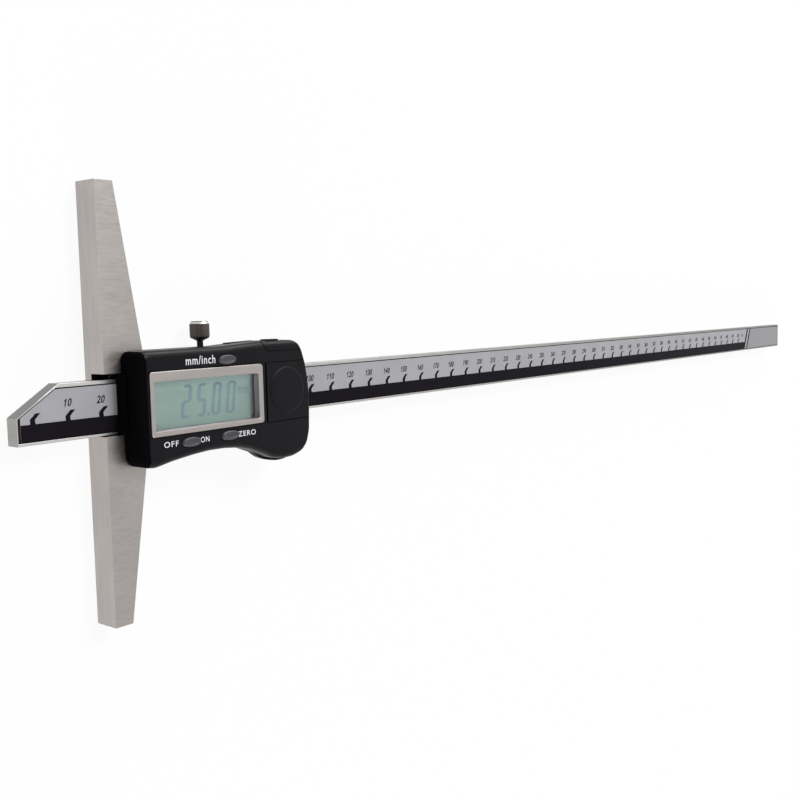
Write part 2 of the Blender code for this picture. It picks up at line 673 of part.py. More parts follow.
def make_chassis(home):
    """The housing's back plate, with the opening for the board and the battery well."""
    chassis = plate("housing_chassis", housing_outline(), CHASSIS_BOTTOM_Z, CHASSIS_TOP_Z, home,
                    "black_plastic")
    well_radius = BATTERY_RADIUS + WELL_CLEARANCE
    well_top = BATTERY_TOP_Z - WELL_SHORT
    join(chassis, cylinder("well_wall", well_radius + WELL_WALL, WELL_FLOOR_Z + SLICE, well_top,
                           battery_place(), home, sides=ROUND_SIDES))
    join(chassis, plate("thumb_rim", housing_points(THUMB_RIM_SHARES),
                        CHASSIS_BOTTOM_Z + SLICE, CHASSIS_TOP_Z - SLICE, home))
    over = BASE_FRONT_Z + GAP
    under = CHASSIS_BOTTOM_Z - OVERRUN
    cut(chassis, box("chassis_step_lower", (0, -HOUSING_DROP - OVERRUN, under),
                     (FRAME_START, CHANNEL_BOTTOM_Y + GAP, over), home))
    cut(chassis, box("chassis_step_upper", (0, CHANNEL_TOP_Y - GAP, under),
                     (FRAME_START, HOUSING_TOP * 2, over), home))
    cut(chassis, box("board_opening", (BOARD_LEFT - GAP, -BOARD_HALF - GAP, 0),
                     (BOARD_RIGHT + GAP, BOARD_HALF + GAP, FRONT_Z), home))
    cut(chassis, box("arm_opening",
                     (BOARD_RIGHT, BOARD_HALF - BOARD_ARM_WIDTH - GAP, 0),
                     (ARM_RIGHT + GAP, BOARD_HALF + GAP, FRONT_Z), home))
    cut(chassis, cylinder("well", well_radius, WELL_FLOOR_Z, FRONT_Z, battery_place(), home,
                          sides=ROUND_SIDES))
    channel = (CONTACT_SPACING + CONTACT_WIDTH) / 2 + GAP
    cut(chassis, box("contact_channel",
                     (BOARD_RIGHT, BATTERY_CENTRE_Y - channel, WELL_FLOOR_Z),
                     (BATTERY_CENTRE, BATTERY_CENTRE_Y + channel, FRONT_Z), home))
    for number, place in enumerate(housing_screw_places(), start=1):
        cut(chassis, cylinder(f"chassis_hole_{number}", HOUSING_SCREW[0] + GAP, 0,
                              CHASSIS_TOP_Z + OVERRUN, place, home, sides=SCREW_SIDES))


def port_region(margin):
    """The corner of the housing that the data port's cover fills, grown by a margin."""
    left = PORT_START - margin
    low = HOUSING_TOP * OUTLINE_TOP_SHARES[0][1] - PORT_DEPTH - margin
    far = HOUSING_END + OVERRUN
    high = HOUSING_TOP + PORT_DEPTH
    return [(left, high), (left, HOUSING_TOP), (left + PORT_SLANT, low), (far, low), (far, high)]


def cover_box(name, margin, low, home):
    """The block that frees the battery cover from the housing, grown by a margin."""
    return box(name, (COVER_START - margin, COVER_MID_Y - COVER_HALF - margin, low),
               (HOUSING_END + OVERRUN, COVER_MID_Y + COVER_HALF + margin, FRONT_Z + OVERRUN),
               home)


def make_shell(home):
    """The housing's front shell with its openings and screw bosses."""
    shell = plate("housing_shell", housing_outline(), SHELL_BOTTOM_Z, FRONT_Z, home,
                  "black_plastic", rim=FACE_FILLET)
    cavity = plate("shell_cavity", inset(housing_outline(), HOUSING_WALL),
                   SHELL_BOTTOM_Z - OVERRUN, FACE_BACK_Z, home)
    ledge = port_region(0)[2][1] - GAP - PORT_LEDGE
    cut(cavity, box("port_ledge", (PORT_START - GAP - HOUSING_WALL, ledge, 0),
                    (HOUSING_END + OVERRUN, HOUSING_TOP * 2, FRONT_Z), home))
    cut(shell, cavity)
    join(shell, plate("top_ridge", top_ridge_outline(), FRONT_Z - FACE_FILLET - TOP_RIDGE_DEPTH,
                      FRONT_Z - FACE_FILLET + SLICE, home))
    for number, place in enumerate(housing_screw_places(), start=1):
        join(shell, cylinder(f"boss_{number}", BOSS_RADIUS, SHELL_BOTTOM_Z,
                             FACE_BACK_Z + BOSS_EMBED, place, home))
    for number, place in enumerate(housing_screw_places(), start=1):
        cut(shell, cylinder(f"boss_hole_{number}", HOUSING_SCREW[0] + GAP,
                            SHELL_BOTTOM_Z - OVERRUN, shell_screw_reach() + GAP, place, home,
                            sides=SCREW_SIDES))
    cut(shell, plate("bezel_seat", bezel_outline(GAP), FRONT_Z + BEZEL_PROUD - BEZEL_THICKNESS
                     - GAP, FRONT_Z + OVERRUN, home))
    start, end, low, high = window_sides(GAP)
    cut(shell, box("shell_window", (start, low, LENS_BOTTOM_Z), (end, high, FRONT_Z), home))
    for name in BUTTON_PLACE_SHARES:
        cut(shell, plate(name + "_hole", oval(button_place(name), GAP), LENS_BOTTOM_Z,
                         FRONT_Z + OVERRUN, home))
    cut(shell, cover_box("cover_opening", GAP, FACE_BACK_Z - SLICE, home))
    cut(shell, box("cover_skirt_gap",
                   (HOUSING_END - HOUSING_WALL * 3, COVER_MID_Y - COVER_HALF - GAP,
                    FRONT_Z - COVER_SKIRT - GAP),
                   (HOUSING_END + OVERRUN, COVER_MID_Y + COVER_HALF + GAP, FRONT_Z), home))
    way = COVER_HALF + COVER_HOOK + GAP
    cut(shell, box("cover_hook_way",
                   (HOUSING_END - HOUSING_WALL * 3, COVER_MID_Y - way,
                    FACE_BACK_Z - COVER_HOOK_THICKNESS - GAP * 3),
                   (HOUSING_END + OVERRUN, COVER_MID_Y + way, FACE_BACK_Z), home))
    cut(shell, plate("port_corner", port_region(GAP), SHELL_BOTTOM_Z - OVERRUN,
                     FRONT_Z + OVERRUN, home))
    start, end, low, high = port_block_sides()
    cut(shell, box("port_slot", (start - GAP, low, SHELL_BOTTOM_Z - OVERRUN),
                   (end + GAP, high + OVERRUN, BOARD_TOP_Z + GAP * 2 + PORT_BLOCK_HEIGHT), home))


def top_ridge_outline():
    """The low ridge on the shell's top edge, up to the data port's cover."""
    far, near = housing_points(OUTLINE_TOP_SHARES)
    start = HOUSING_SETBACK + TOP_RIDGE_START
    low = near[1] - HOUSING_WALL
    return [(start, low), (PORT_START + PORT_SLANT, low),
            (PORT_START + PORT_SLANT, far[1] + TOP_RIDGE_HEIGHT),
            (start, near[1] + TOP_RIDGE_HEIGHT)]


def shell_screw_reach():
    """How high the housing's screws reach inside the bosses."""
    return FACE_BACK_Z - HOUSING_SCREW[0] - GAP


def make_housing_screws(home):
    """The four screws from the frame's back into the shell's bosses."""
    for number, place in enumerate(housing_screw_places(), start=1):
        screw(f"housing_screw_{number}", HOUSING_SCREW, shell_screw_reach(), place, home)


def bezel_outline(margin):
    """The display frame's outline, grown by a margin."""
    low = BEZEL_CENTRE_Y - BEZEL_HEIGHT / 2 - margin
    high = BEZEL_CENTRE_Y + BEZEL_HEIGHT / 2 + margin
    return rounded_rectangle(BEZEL_START - margin, BEZEL_END + margin, low, high, BEZEL_CORNER)


def window_sides(margin):
    """The sides of the display's window, grown by a margin: start, end, low and high."""
    middle = BEZEL_CENTRE + WINDOW_SHIFT
    centre = BEZEL_CENTRE_Y - WINDOW_DROP
    return (middle - WINDOW_LENGTH / 2 - margin, middle + WINDOW_LENGTH / 2 + margin,
            centre - WINDOW_HEIGHT / 2 - margin, centre + WINDOW_HEIGHT / 2 + margin)


def make_display(home):
    """The silver frame, the lens, the liquid crystal panel and its two connectors."""
    top = FRONT_Z + BEZEL_PROUD
    bezel = plate("lcd_bezel", bezel_outline(0), top - BEZEL_THICKNESS, top, home,
                  "silver_plate")
    start, end, low, high = window_sides(0)
    cut(bezel, box("bezel_window", (start, low, 0), (end, high, top + OVERRUN), home))
    start, end, low, high = window_sides(PANEL_BORDER)
    box("lcd_lens", (start, low, LENS_BOTTOM_Z), (end, high, FACE_BACK_Z - GAP), home,
        "clear_lens")
    box("lcd_panel", (start, low, PANEL_BOTTOM_Z), (end, high, PANEL_TOP_Z), home, "lcd_glass")
    sides = {"lcd_connector_lower": low + CONNECTOR_INSET,
             "lcd_connector_upper": high - CONNECTOR_INSET - CONNECTOR_WIDTH}
    for name, y in sides.items():
        box(name, (BOARD_LEFT + CONNECTOR_END, y, BOARD_TOP_Z + GAP),
            (BOARD_RIGHT - CONNECTOR_END, y + CONNECTOR_WIDTH, PANEL_BOTTOM_Z - GAP), home,
            "elastomer")


def port_block_sides():
    """The data port block's sides: start, end, low and high."""
    start = ARM_RIGHT - PORT_BLOCK_INSET - PORT_BLOCK_LENGTH
    high = BOARD_HALF - GAP
    return start, start + PORT_BLOCK_LENGTH, high - PORT_BLOCK_WIDTH, high


def make_board(home):
    """The circuit board with its chip, data port and screws."""
    arm_low = BOARD_HALF - BOARD_ARM_WIDTH
    outline = [(BOARD_LEFT, -BOARD_HALF), (BOARD_RIGHT, -BOARD_HALF), (BOARD_RIGHT, arm_low),
               (ARM_RIGHT, arm_low), (ARM_RIGHT, BOARD_HALF), (BOARD_LEFT, BOARD_HALF)]
    board = plate("circuit_board", outline, CHASSIS_BOTTOM_Z, BOARD_TOP_Z, home, "board_green")
    for number, place in enumerate(board_screw_places(), start=1):
        cut(board, cylinder(f"board_hole_{number}", BOARD_SCREW[0] + GAP, 0, FRONT_Z, place,
                            home, sides=SCREW_SIDES))
        make_board_screw(number, place, home)
    for number, place in enumerate(housing_screw_places(), start=1):
        cut(board, cylinder(f"board_pass_{number}", HOUSING_SCREW[0] + GAP, 0, FRONT_Z, place,
                            home, sides=SCREW_SIDES))
    middle = (BOARD_LEFT + BOARD_RIGHT) / 2
    base = BOARD_TOP_Z + GAP
    box("controller_chip", (middle - CHIP_LENGTH / 2, -CHIP_WIDTH / 2, base),
        (middle + CHIP_LENGTH / 2, CHIP_WIDTH / 2, base + CHIP_HEIGHT), home, "chip_epoxy")
    start, end, low, high = port_block_sides()
    box("data_port", (start, low, base), (end, high, base + PORT_BLOCK_HEIGHT), home,
        "chip_epoxy")
    for name in BUTTON_PLACE_SHARES:
        cylinder(name.replace("button", "switch_dome"), DOME_RADIUS, base, base + DOME_HEIGHT,
                 button_place(name), home, "nickel", sides=SCREW_SIDES)


def make_board_screw(number, place, home):
    """One screw that holds the board to a rail, its head on top."""
    shank, head, head_height = BOARD_SCREW
    seat = BOARD_TOP_Z + GAP
    tip = BEAM_FRONT_Z - SCREW_BITE
    profile = [(0, seat + head_height), (head, seat + head_height), (head, seat), (shank, seat),
               (shank, tip), (0, tip)]
    turned(f"board_screw_{number}", profile, (*place, 0), home, "screw_steel", sides=SCREW_SIDES)


def button_place(name):
    """A button's centre, over its switch on the board."""
    across, up = BUTTON_PLACE_SHARES[name]
    return (BOARD_LEFT + across * BOARD_LENGTH, housing_points([(across, up)])[0][1])


def oval(place, margin):
    """The outline of a button's cap over a place, grown by a margin."""
    angles = [2 * pi * step / BUTTON_SIDES for step in range(BUTTON_SIDES)]
    return [(place[0] + (BUTTON_HALF_LENGTH + margin) * cos(angle),
             place[1] + (BUTTON_HALF_WIDTH + margin) * sin(angle)) for angle in angles]


def make_buttons(home):
    """The three buttons: a domed cap over a flange and a stem."""
    for name in BUTTON_PLACE_SHARES:
        place = button_place(name)
        flange_top = FACE_BACK_Z - GAP
        flange_low = flange_top - BUTTON_FLANGE_THICKNESS
        tip = BOARD_TOP_Z + GAP + DOME_HEIGHT + BUTTON_TRAVEL + BUTTON_SPARE
        button = plate(name, oval(place, 0), flange_low + SLICE, FRONT_Z + BUTTON_PROUD, home,
                       "button_grey", rim=BUTTON_CROWN)
        join(button, plate(name + "_flange", oval(place, BUTTON_FLANGE), flange_low, flange_top,
                           home))
        join(button, cylinder(name + "_stem", BUTTON_STEM_RADIUS, tip, flange_low + SLICE * 2,
                              place, home, sides=SCREW_SIDES))


def make_battery(home):
    """The button cell and its two spring contacts."""
    cell = cylinder("battery", BATTERY_RADIUS, CONTACT_TOP_Z + GAP, BATTERY_TOP_Z,
                    battery_place(), home, "nickel", sides=ROUND_SIDES)
    soften(cell, CONTACT_THICKNESS)
    start = BOARD_RIGHT + GAP
    bottom = WELL_FLOOR_Z + GAP
    low = BATTERY_CENTRE_Y - (CONTACT_SPACING + CONTACT_WIDTH) / 2
    box("battery_contact_bottom", (start, low, bottom),
        (BATTERY_CENTRE, low + CONTACT_WIDTH, CONTACT_TOP_Z), home, "nickel")
    low = BATTERY_CENTRE_Y + (CONTACT_SPACING - CONTACT_WIDTH) / 2
    face = BATTERY_CENTRE - BATTERY_RADIUS - GAP
    side = box("battery_contact_side", (start, low, bottom),
               (face, low + CONTACT_WIDTH, CONTACT_TOP_Z), home, "nickel")
    join(side, box("contact_upright", (face - CONTACT_THICKNESS, low, bottom),
                   (face, low + CONTACT_WIDTH, CONTACT_TOP_Z + CONTACT_UPRIGHT), home))


def make_battery_cover(home):
    """The sliding battery cover: a plate and skirt from the housing's own outline."""
    cover = plate("battery_cover", housing_outline(), FRONT_Z - COVER_SKIRT, FRONT_Z, home,
                  "black_plastic", rim=FACE_FILLET)
    cut(cover, cover_box("cover_region", 0, 0, home), operation='INTERSECT')
    cut(cover, plate("cover_hollow", inset(housing_outline(), COVER_WALL), 0, COVER_BOTTOM_Z,
                     home))
    start = COVER_START + COVER_RIB
    end = start + COVER_RIB_LENGTH
    hook_top = FACE_BACK_Z - GAP
    hook_low = hook_top - COVER_HOOK_THICKNESS
    for name, side in (("upper", 1), ("lower", -1)):
        edge = COVER_MID_Y + side * (COVER_HALF - SLICE)
        inner = edge - side * COVER_RIB
        outer = edge + side * COVER_HOOK
        join(cover, box(f"cover_rib_{name}", (start, min(edge, inner), hook_low - SLICE),
                        (end, max(edge, inner), COVER_BOTTOM_Z + SLICE), home))
        inner = edge - side * SLICE
        join(cover, box(f"cover_hook_{name}", (start + SLICE, min(outer, inner), hook_low),
                        (end - SLICE, max(outer, inner), hook_top), home))
    cut(cover, cylinder("cover_dimple", DIMPLE_RADIUS, FRONT_Z - DIMPLE_DEPTH,
                        FRONT_Z + OVERRUN, battery_place(), home, sides=ROUND_SIDES))


def make_port_cover(home):
    """The data port's cover, a corner of the housing that slides off to the right."""
    cover = plate("port_cover", housing_outline(), SHELL_BOTTOM_Z, FRONT_Z, home,
                  "black_plastic", rim=FACE_FILLET)
    cut(cover, plate("port_space", port_region(0), 0, FRONT_Z + OVERRUN, home),
        operation='INTERSECT')
    top = HOUSING_TOP * OUTLINE_TOP_SHARES[0][1]
    join(cover, box("port_ridge",
                    (PORT_START + PORT_SLANT / 2, top - PORT_DEPTH / 2,
                     SHELL_BOTTOM_Z + FACE_THICKNESS),
                    (PORT_START + PORT_SLANT / 2 + PORT_RIDGE_LENGTH, top + PORT_RIDGE_HEIGHT,
                     FACE_BACK_Z), home))


def main():
    clear_scene()
    beam_home = make_home("beam_home", (-BEAM_LENGTH / 2, 0, BEAM_BACK_Z))
    slider_home = make_home("slider_home", (READING - BEAM_LENGTH / 2, 0, 0))
    make_beam(beam_home)
    make_end_stop(beam_home)
    make_base(slider_home)
    make_frame(slider_home)
    make_lock_screw(slider_home)
    make_chassis(slider_home)
    make_shell(slider_home)
    make_housing_screws(slider_home)
    make_display(slider_home)
    make_board(slider_home)
    make_buttons(slider_home)
    make_battery(slider_home)
    make_battery_cover(slider_home)
    make_port_cover(slider_home)
    bpy.context.view_layer.update()


main()
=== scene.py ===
"""Looks of a digital depth gauge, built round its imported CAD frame.

Every piece is made where the CAD nodes are and rides on their bodies. Lengths are in metres.
+X runs along the beam from its tip, +Y along the cross bar and +Z out of the display.
"""
import math

import bmesh
import bpy
import numpy as np
from mathutils import Matrix, Vector


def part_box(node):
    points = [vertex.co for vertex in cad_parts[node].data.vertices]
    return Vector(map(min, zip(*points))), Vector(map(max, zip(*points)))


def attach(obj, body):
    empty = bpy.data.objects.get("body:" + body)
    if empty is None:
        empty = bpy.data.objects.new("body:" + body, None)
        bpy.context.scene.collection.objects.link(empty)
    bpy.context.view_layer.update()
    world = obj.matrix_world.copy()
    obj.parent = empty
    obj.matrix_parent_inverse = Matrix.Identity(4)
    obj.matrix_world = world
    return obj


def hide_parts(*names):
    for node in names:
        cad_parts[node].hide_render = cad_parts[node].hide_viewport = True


bl_info = {
    "name": "Depth gauge looks",
    "version": (1, 0, 0),
    "blender": (4, 5, 0),
    "location": "View3D > Sidebar > Depth gauge",
    "description": "Builds the visible pieces and finishes of a digital depth gauge",
    "category": "Object",
}

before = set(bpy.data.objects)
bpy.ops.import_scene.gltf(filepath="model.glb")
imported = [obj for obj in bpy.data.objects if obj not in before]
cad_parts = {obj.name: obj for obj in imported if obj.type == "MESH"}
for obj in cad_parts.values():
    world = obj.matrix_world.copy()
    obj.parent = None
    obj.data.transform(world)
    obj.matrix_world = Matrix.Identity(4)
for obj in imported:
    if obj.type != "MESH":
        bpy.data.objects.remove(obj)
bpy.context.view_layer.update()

# Places read from the CAD frame
FACE_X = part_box("base_bar")[0].x
BEAM_LOW, BEAM_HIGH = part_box("beam")
SHELL_LOW, SHELL_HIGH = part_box("housing_shell")
CHASSIS_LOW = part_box("housing_chassis")[0]
PANEL_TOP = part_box("lcd_panel")[1].z
LABEL_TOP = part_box("scale_label")[1].z
FRONT_Z = SHELL_HIGH.z

# Room between pieces and at the housing's seams, how far a cutter runs past what it cuts, and
# the shift that keeps two faces from lying in one plane
GAP = 0.0003
SEAM = 0.00003
OVERRUN = 0.002
SLICE = 0.0001

# The housing's outline, anticlockwise from its top left corner: shares of its length, and of
# its height above the beam's centre line or below it
HOUSING_TOP = 0.0153
HOUSING_DROP = -SHELL_LOW.y
HOUSING_LENGTH = SHELL_HIGH.x - SHELL_LOW.x
OUTLINE_SHARES = [
    (0.014, 0.955), (0, 0.88), (0, -0.66), (0.008, -0.745), (0.030, -0.805), (0.075, -0.825),
    (0.17, -0.77), (0.28, -0.727), (0.37, -0.705), (0.46, -0.708), (0.55, -0.735),
    (0.62, -0.785), (0.69, -0.87), (0.755, -0.965), (0.82, -1), (0.885, -0.992),
    (0.945, -0.935), (0.981, -0.82), (0.996, -0.62), (1, -0.32), (1, -0.04), (0.993, 0.24),
    (0.979, 0.56), (0.957, 0.84), (0.934, 0.99), (0.90, 1.04), (0.70, 1.045), (0.46, 0.987),
    (0.045, 0.98)]
RIGHT_CORNERS = slice(17, 26)
TOP_SHARE = 1.045

# How far the round at the face reaches inwards at each corner, as a share of its height
FILLET_REACH = [1.4] + [1.7] * 3 + [1] * 12 + [0.8] * 2 + [0.55] * 7 + [0.8] + [1] * 3
FILLET_STEPS = 7

# The thumb rest's rim at the back plate, in the same shares
THUMB_SHARES = [
    (0.98, -0.60), (0.69, -0.60), (0.69, -0.87), (0.74, -0.975), (0.79, -1.03),
    (0.85, -1.062), (0.91, -1.055), (0.953, -0.99), (0.980, -0.87)]

# The step in which a softened outline is walked
SOFT_STEP = 0.0005

# Camera
CAMERA_TURN = (0.0753135742, 0.9088462132, 0.0610473160)
CAMERA_PLACE = (-0.421657, 0.025089, 0.234176)
CAMERA_LENS = 44.121
CAMERA_SHIFT = (-0.0191, -0.003512)


def screen(red, green, blue):
    """The linear colour that shows as these 8-bit screen values."""
    share = np.array((red, green, blue)) / 255
    linear = np.where(share > 0.04045, ((share + 0.055) / 1.055) ** 2.4, share / 12.92)
    return tuple(float(value) for value in linear)


def length(name, words, default):
    """A length that the panel shows."""
    return bpy.props.FloatProperty(name=name, description=words, default=default, min=0,
                                   unit='LENGTH', precision=5)


def colour(name, words, default):
    """A colour that the panel shows."""
    return bpy.props.FloatVectorProperty(name=name, description=words, default=default,
                                         subtype='COLOR', size=3, min=0, max=1)


class GaugeSizes(bpy.types.PropertyGroup):
    """Small sizes of the finish, which the CAD leaves sharp or bare."""
    steel_break: length("Steel edge break", "Bevel along the edges of the steel bars", 0.00025)
    plastic_break: length("Plastic edge break", "Rounding along the plastic seams", 0.00012)
    face_fillet: length("Face fillet", "Radius where the housing's face meets its wall", 0.0021)
    corner_spread: length("Corner softness", "Spread of the housing outline's rounding", 0.0008)
    print_height: length("Print height", "Thickness of the printed ink", 0.00002)
    digit_height: length("Digit height", "Height of the digits on the display", 0.0095)
    number_height: length("Number height", "Height of the numbers on the scale", 0.00205)
    knurl_depth: length("Knurl depth", "Depth of the lock screw's grooves", 0.0002)
    disc_height: length("Disc height", "Height of the battery cover's round disc", 0.00022)


class GaugeColours(bpy.types.PropertyGroup):
    """Colours of the finishes."""
    ground_steel: colour("Ground steel", "Cross bar", screen(159, 154, 151))
    beam_steel: colour("Beam steel", "Beam", screen(193, 191, 188))
    frame_steel: colour("Frame steel", "Slider frame and end stop", screen(160, 160, 160))
    plastic: colour("Black plastic", "Housing and its covers", screen(11, 9, 13))
    film: colour("Scale film", "Printed scale's silver ground", screen(160, 159, 163))
    ink: colour("Black ink", "Strip, lines and numbers of the scale", screen(24, 22, 27))
    letters: colour("White ink", "Words on the housing", screen(225, 225, 232))
    bezel: colour("Display frame", "Silver frame of the display", screen(160, 155, 152))
    lens: colour("Lens", "Clear window", screen(235, 242, 240))
    panel: colour("Liquid crystal", "Unlit display", screen(161, 184, 176))
    segments: colour("Segments", "Digits of the display", screen(138, 164, 174))
    # Painted light: the mask's light grey stands for light on the display opening's wall, lifted
    # against the frame's shadow
    mask: colour("Display mask", "Lining of the display's opening", screen(163, 159, 169))
    button: colour("Button", "Button caps", screen(62, 61, 66))
    knob: colour("Lock screw", "Dark plated steel", screen(86, 80, 76))
    screws: colour("Screws", "Bright screws", screen(188, 188, 188))
    board: colour("Circuit board", "Solder mask", screen(30, 96, 56))
    strip: colour("Grid strip", "Edge of the scale's board", screen(76, 68, 64))
    brass: colour("Brass", "Gib strip", (0.60, 0.44, 0.18))
    nickel: colour("Nickel", "Battery, its contacts and the switch domes", (0.62, 0.60, 0.55))


def settings():
    """The sizes and the colours that the panel holds."""
    return bpy.context.scene.gauge_sizes, bpy.context.scene.gauge_colours


# Shapes: each is a pair, an array of points and a list of faces


def loft(loops, ring=False):
    """Loops of points, each joined to the next by quads; the ends are capped, or meet in a ring."""
    loops = np.asarray(loops, float)
    rows, columns = loops.shape[:2]
    row = np.arange(rows if ring else rows - 1)[:, None]
    column = np.arange(columns)[None, :]
    beside = (column + 1) % columns
    above = (row + 1) % rows
    quads = np.stack([row * columns + column, row * columns + beside,
                      above * columns + beside, above * columns + column], axis=-1)
    faces = quads.reshape(-1, 4).tolist()
    if not ring:
        faces.append(list(range(columns))[::-1])
        faces.append(list(range((rows - 1) * columns, rows * columns)))
    return loops.reshape(-1, 3), faces


def inward(outline):
    """The inward normals of the sides before and after each corner, and their dot product."""
    sides = np.roll(outline, -1, axis=0) - outline
    sides = sides / np.linalg.norm(sides, axis=1)[:, None]
    after = np.stack([-sides[:, 1], sides[:, 0]], axis=1)
    before = np.roll(after, 1, axis=0)
    return before, after, np.sum(after * before, axis=1)


def mitred(outline, distance):
    """Each corner moves inward along its mitre, by one distance or by a distance for each."""
    before, after, lean = inward(outline)
    return outline + (before + after) * (distance / (1 + lean))[:, None]


def inset(outline, distance):
    """Each side of the outline moves inward by its distance, and each corner goes to the point
    where its two moved sides meet."""
    if np.ndim(distance) == 0:
        return mitred(outline, distance)
    before, after, lean = inward(outline)
    beyond = np.asarray(distance, float)
    behind = np.roll(beyond, 1)
    spread = 1 - lean ** 2
    return (outline + before * ((behind - lean * beyond) / spread)[:, None]
            + after * ((beyond - lean * behind) / spread)[:, None])


def carried(outline, profile):
    """A profile of insets and heights carried round a flat outline."""
    outline = np.asarray(outline, float)
    return loft([level(inset(outline, distance), z) for distance, z in profile])


def level(outline, z):
    """A flat outline lifted to a height."""
    return np.column_stack([outline, np.full(len(outline), z)])


def slab(outline, low, high):
    """A flat outline with straight sides."""
    return carried(outline, [(0, low), (0, high)])


def rectangle(low, high):
    """The four corners between two, anticlockwise."""
    return np.array([(low[0], low[1]), (high[0], low[1]), (high[0], high[1]), (low[0], high[1])])


def block(low, high):
    """A box between two corners."""
    return slab(rectangle(low, high), low[2], high[2])


def round_rectangle(low, high, radius, steps=5):
    """A rectangle whose corners are quarter circles, anticlockwise from the lower right."""
    turn = np.linspace(0, math.pi / 2, steps)
    quarters = [(high[0], low[1], -90), (high[0], high[1], 0), (low[0], high[1], 90),
                (low[0], low[1], 180)]
    middle = (np.asarray(low[:2]) + np.asarray(high[:2])) / 2
    parts = []
    for x, y, start in quarters:
        centre = np.array((x, y)) + radius * np.sign(middle - (x, y))
        angle = turn + math.radians(start)
        parts.append(centre + radius * np.column_stack([np.cos(angle), np.sin(angle)]))
    return np.concatenate(parts)


def lathe(profile, place, sides=48, axis='Z', groove=None):
    """A profile of radii and heights turned round an axis; groove gives a factor on the radius
    for each height and angle."""
    profile = np.asarray(profile, float)
    angle = np.linspace(0, 2 * math.pi, sides, endpoint=False)
    radius = np.repeat(profile[:, :1], sides, axis=1)
    if groove is not None:
        radius = radius * groove(profile, angle)
    across = radius * np.cos(angle)
    along = radius * np.sin(angle)
    height = np.repeat(profile[:, 1:2], sides, axis=1)
    if axis == 'Y':
        loops = np.stack([across, height, -along], axis=-1)
    else:
        loops = np.stack([across, along, height], axis=-1)
    return loft(loops + np.asarray(place, float))


def softened(outline, spread, distance=0.0):
    """The outline moved in by a distance and walked in steps, as many on each side as the
    unmoved side has half millimetres; each point then is the bell-weighted mean of the points
    round it, which rounds the corners and leaves the straights."""
    outline = np.asarray(outline, float)
    sides = np.linalg.norm(np.roll(outline, -1, axis=0) - outline, axis=1)
    steps = np.maximum(1, np.round(sides / SOFT_STEP)).astype(int)
    moved = mitred(outline, distance)
    share = np.concatenate([np.arange(count) / count for count in steps])
    start = np.repeat(moved, steps, axis=0)
    end = np.repeat(np.roll(moved, -1, axis=0), steps, axis=0)
    even = start + (end - start) * share[:, None]
    reach = np.arange(-round(3 * spread / SOFT_STEP), round(3 * spread / SOFT_STEP) + 1)
    weight = np.exp(-(reach * SOFT_STEP / spread) ** 2 / 2)
    weight = weight / weight.sum()
    return sum(share * np.roll(even, turn, axis=0) for share, turn in zip(weight, reach))


def housing_points(shares):
    """Shares of the housing's length and height turned into places."""
    shares = np.asarray(shares, float)
    height = np.where(shares[:, 1] > 0, HOUSING_TOP, HOUSING_DROP)
    return np.column_stack([SHELL_LOW.x + shares[:, 0] * HOUSING_LENGTH, shares[:, 1] * height])


def fillet(radius, top):
    """The profile of a quarter round that ends flat at the top."""
    turn = np.linspace(0, math.pi / 2, FILLET_STEPS)
    return [(radius * (1 - math.cos(angle)), top - radius * (1 - math.sin(angle)))
            for angle in turn]


# Pieces


def add_piece(name, *shapes):
    """One object made of closed shapes."""
    points = np.concatenate([shape[0] for shape in shapes])
    starts = np.cumsum([0] + [len(shape[0]) for shape in shapes])
    faces = [[int(start) + corner for corner in face]
             for start, shape in zip(starts, shapes) for face in shape[1]]
    mesh = bpy.data.meshes.new(name)
    mesh.from_pydata(points.tolist(), [], faces)
    mesh.update()
    piece = bpy.data.objects.new(name, mesh)
    bpy.context.scene.collection.objects.link(piece)
    return piece


def settle(piece):
    """Turn a piece's modifiers into its mesh."""
    bpy.context.view_layer.update()
    seen = piece.evaluated_get(bpy.context.evaluated_depsgraph_get())
    mesh = bpy.data.meshes.new_from_object(seen)
    piece.modifiers.clear()
    piece.data = mesh


def carve_with(piece, tool, operation='DIFFERENCE'):
    """Carve a piece with another that is already made, and remove that one."""
    modifier = piece.modifiers.new("carve", 'BOOLEAN')
    modifier.operation = operation
    modifier.solver = 'EXACT'
    modifier.object = tool
    settle(piece)
    bpy.data.objects.remove(tool)


def carve(piece, *shapes, operation='DIFFERENCE'):
    """Cut closed shapes from a piece one after the other, or join or intersect them with it."""
    for shape in shapes:
        carve_with(piece, add_piece("tool", shape), operation)
    if not piece.data.polygons:
        raise RuntimeError(f"{piece.name} came out empty")


def dress(piece, body, slot, finish, *nodes, edge=0.0, angle=32):
    """Round a piece's edges, shade it, give it the finish of that name and put it in the
    frame, in the place of the nodes."""
    if edge:
        bevel = piece.modifiers.new("edge_break", 'BEVEL')
        bevel.width = edge
        bevel.segments = 2
        bevel.limit_method = 'ANGLE'
        bevel.angle_limit = math.radians(angle)
        bevel.use_clamp_overlap = True
        settle(piece)
    mesh = piece.data
    mesh.materials.clear()
    mesh.materials.append(finish_of(finish))
    mesh.polygons.foreach_set("material_index", np.zeros(len(mesh.polygons), np.int32))
    mesh.shade_smooth()
    mesh.set_sharp_from_angle(angle=math.radians(angle))
    even = piece.modifiers.new("even_shading", 'WEIGHTED_NORMAL')
    even.keep_sharp = True
    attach(piece, body)
    if nodes:
        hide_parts(*nodes)
    return piece


# Finishes

# The name that each finish got: Blender adds a number where the CAD frame has it already
FINISH_NAMES = {}


def finish_of(name):
    """A finish that the finishes operator has made."""
    return bpy.data.materials[FINISH_NAMES[name]]


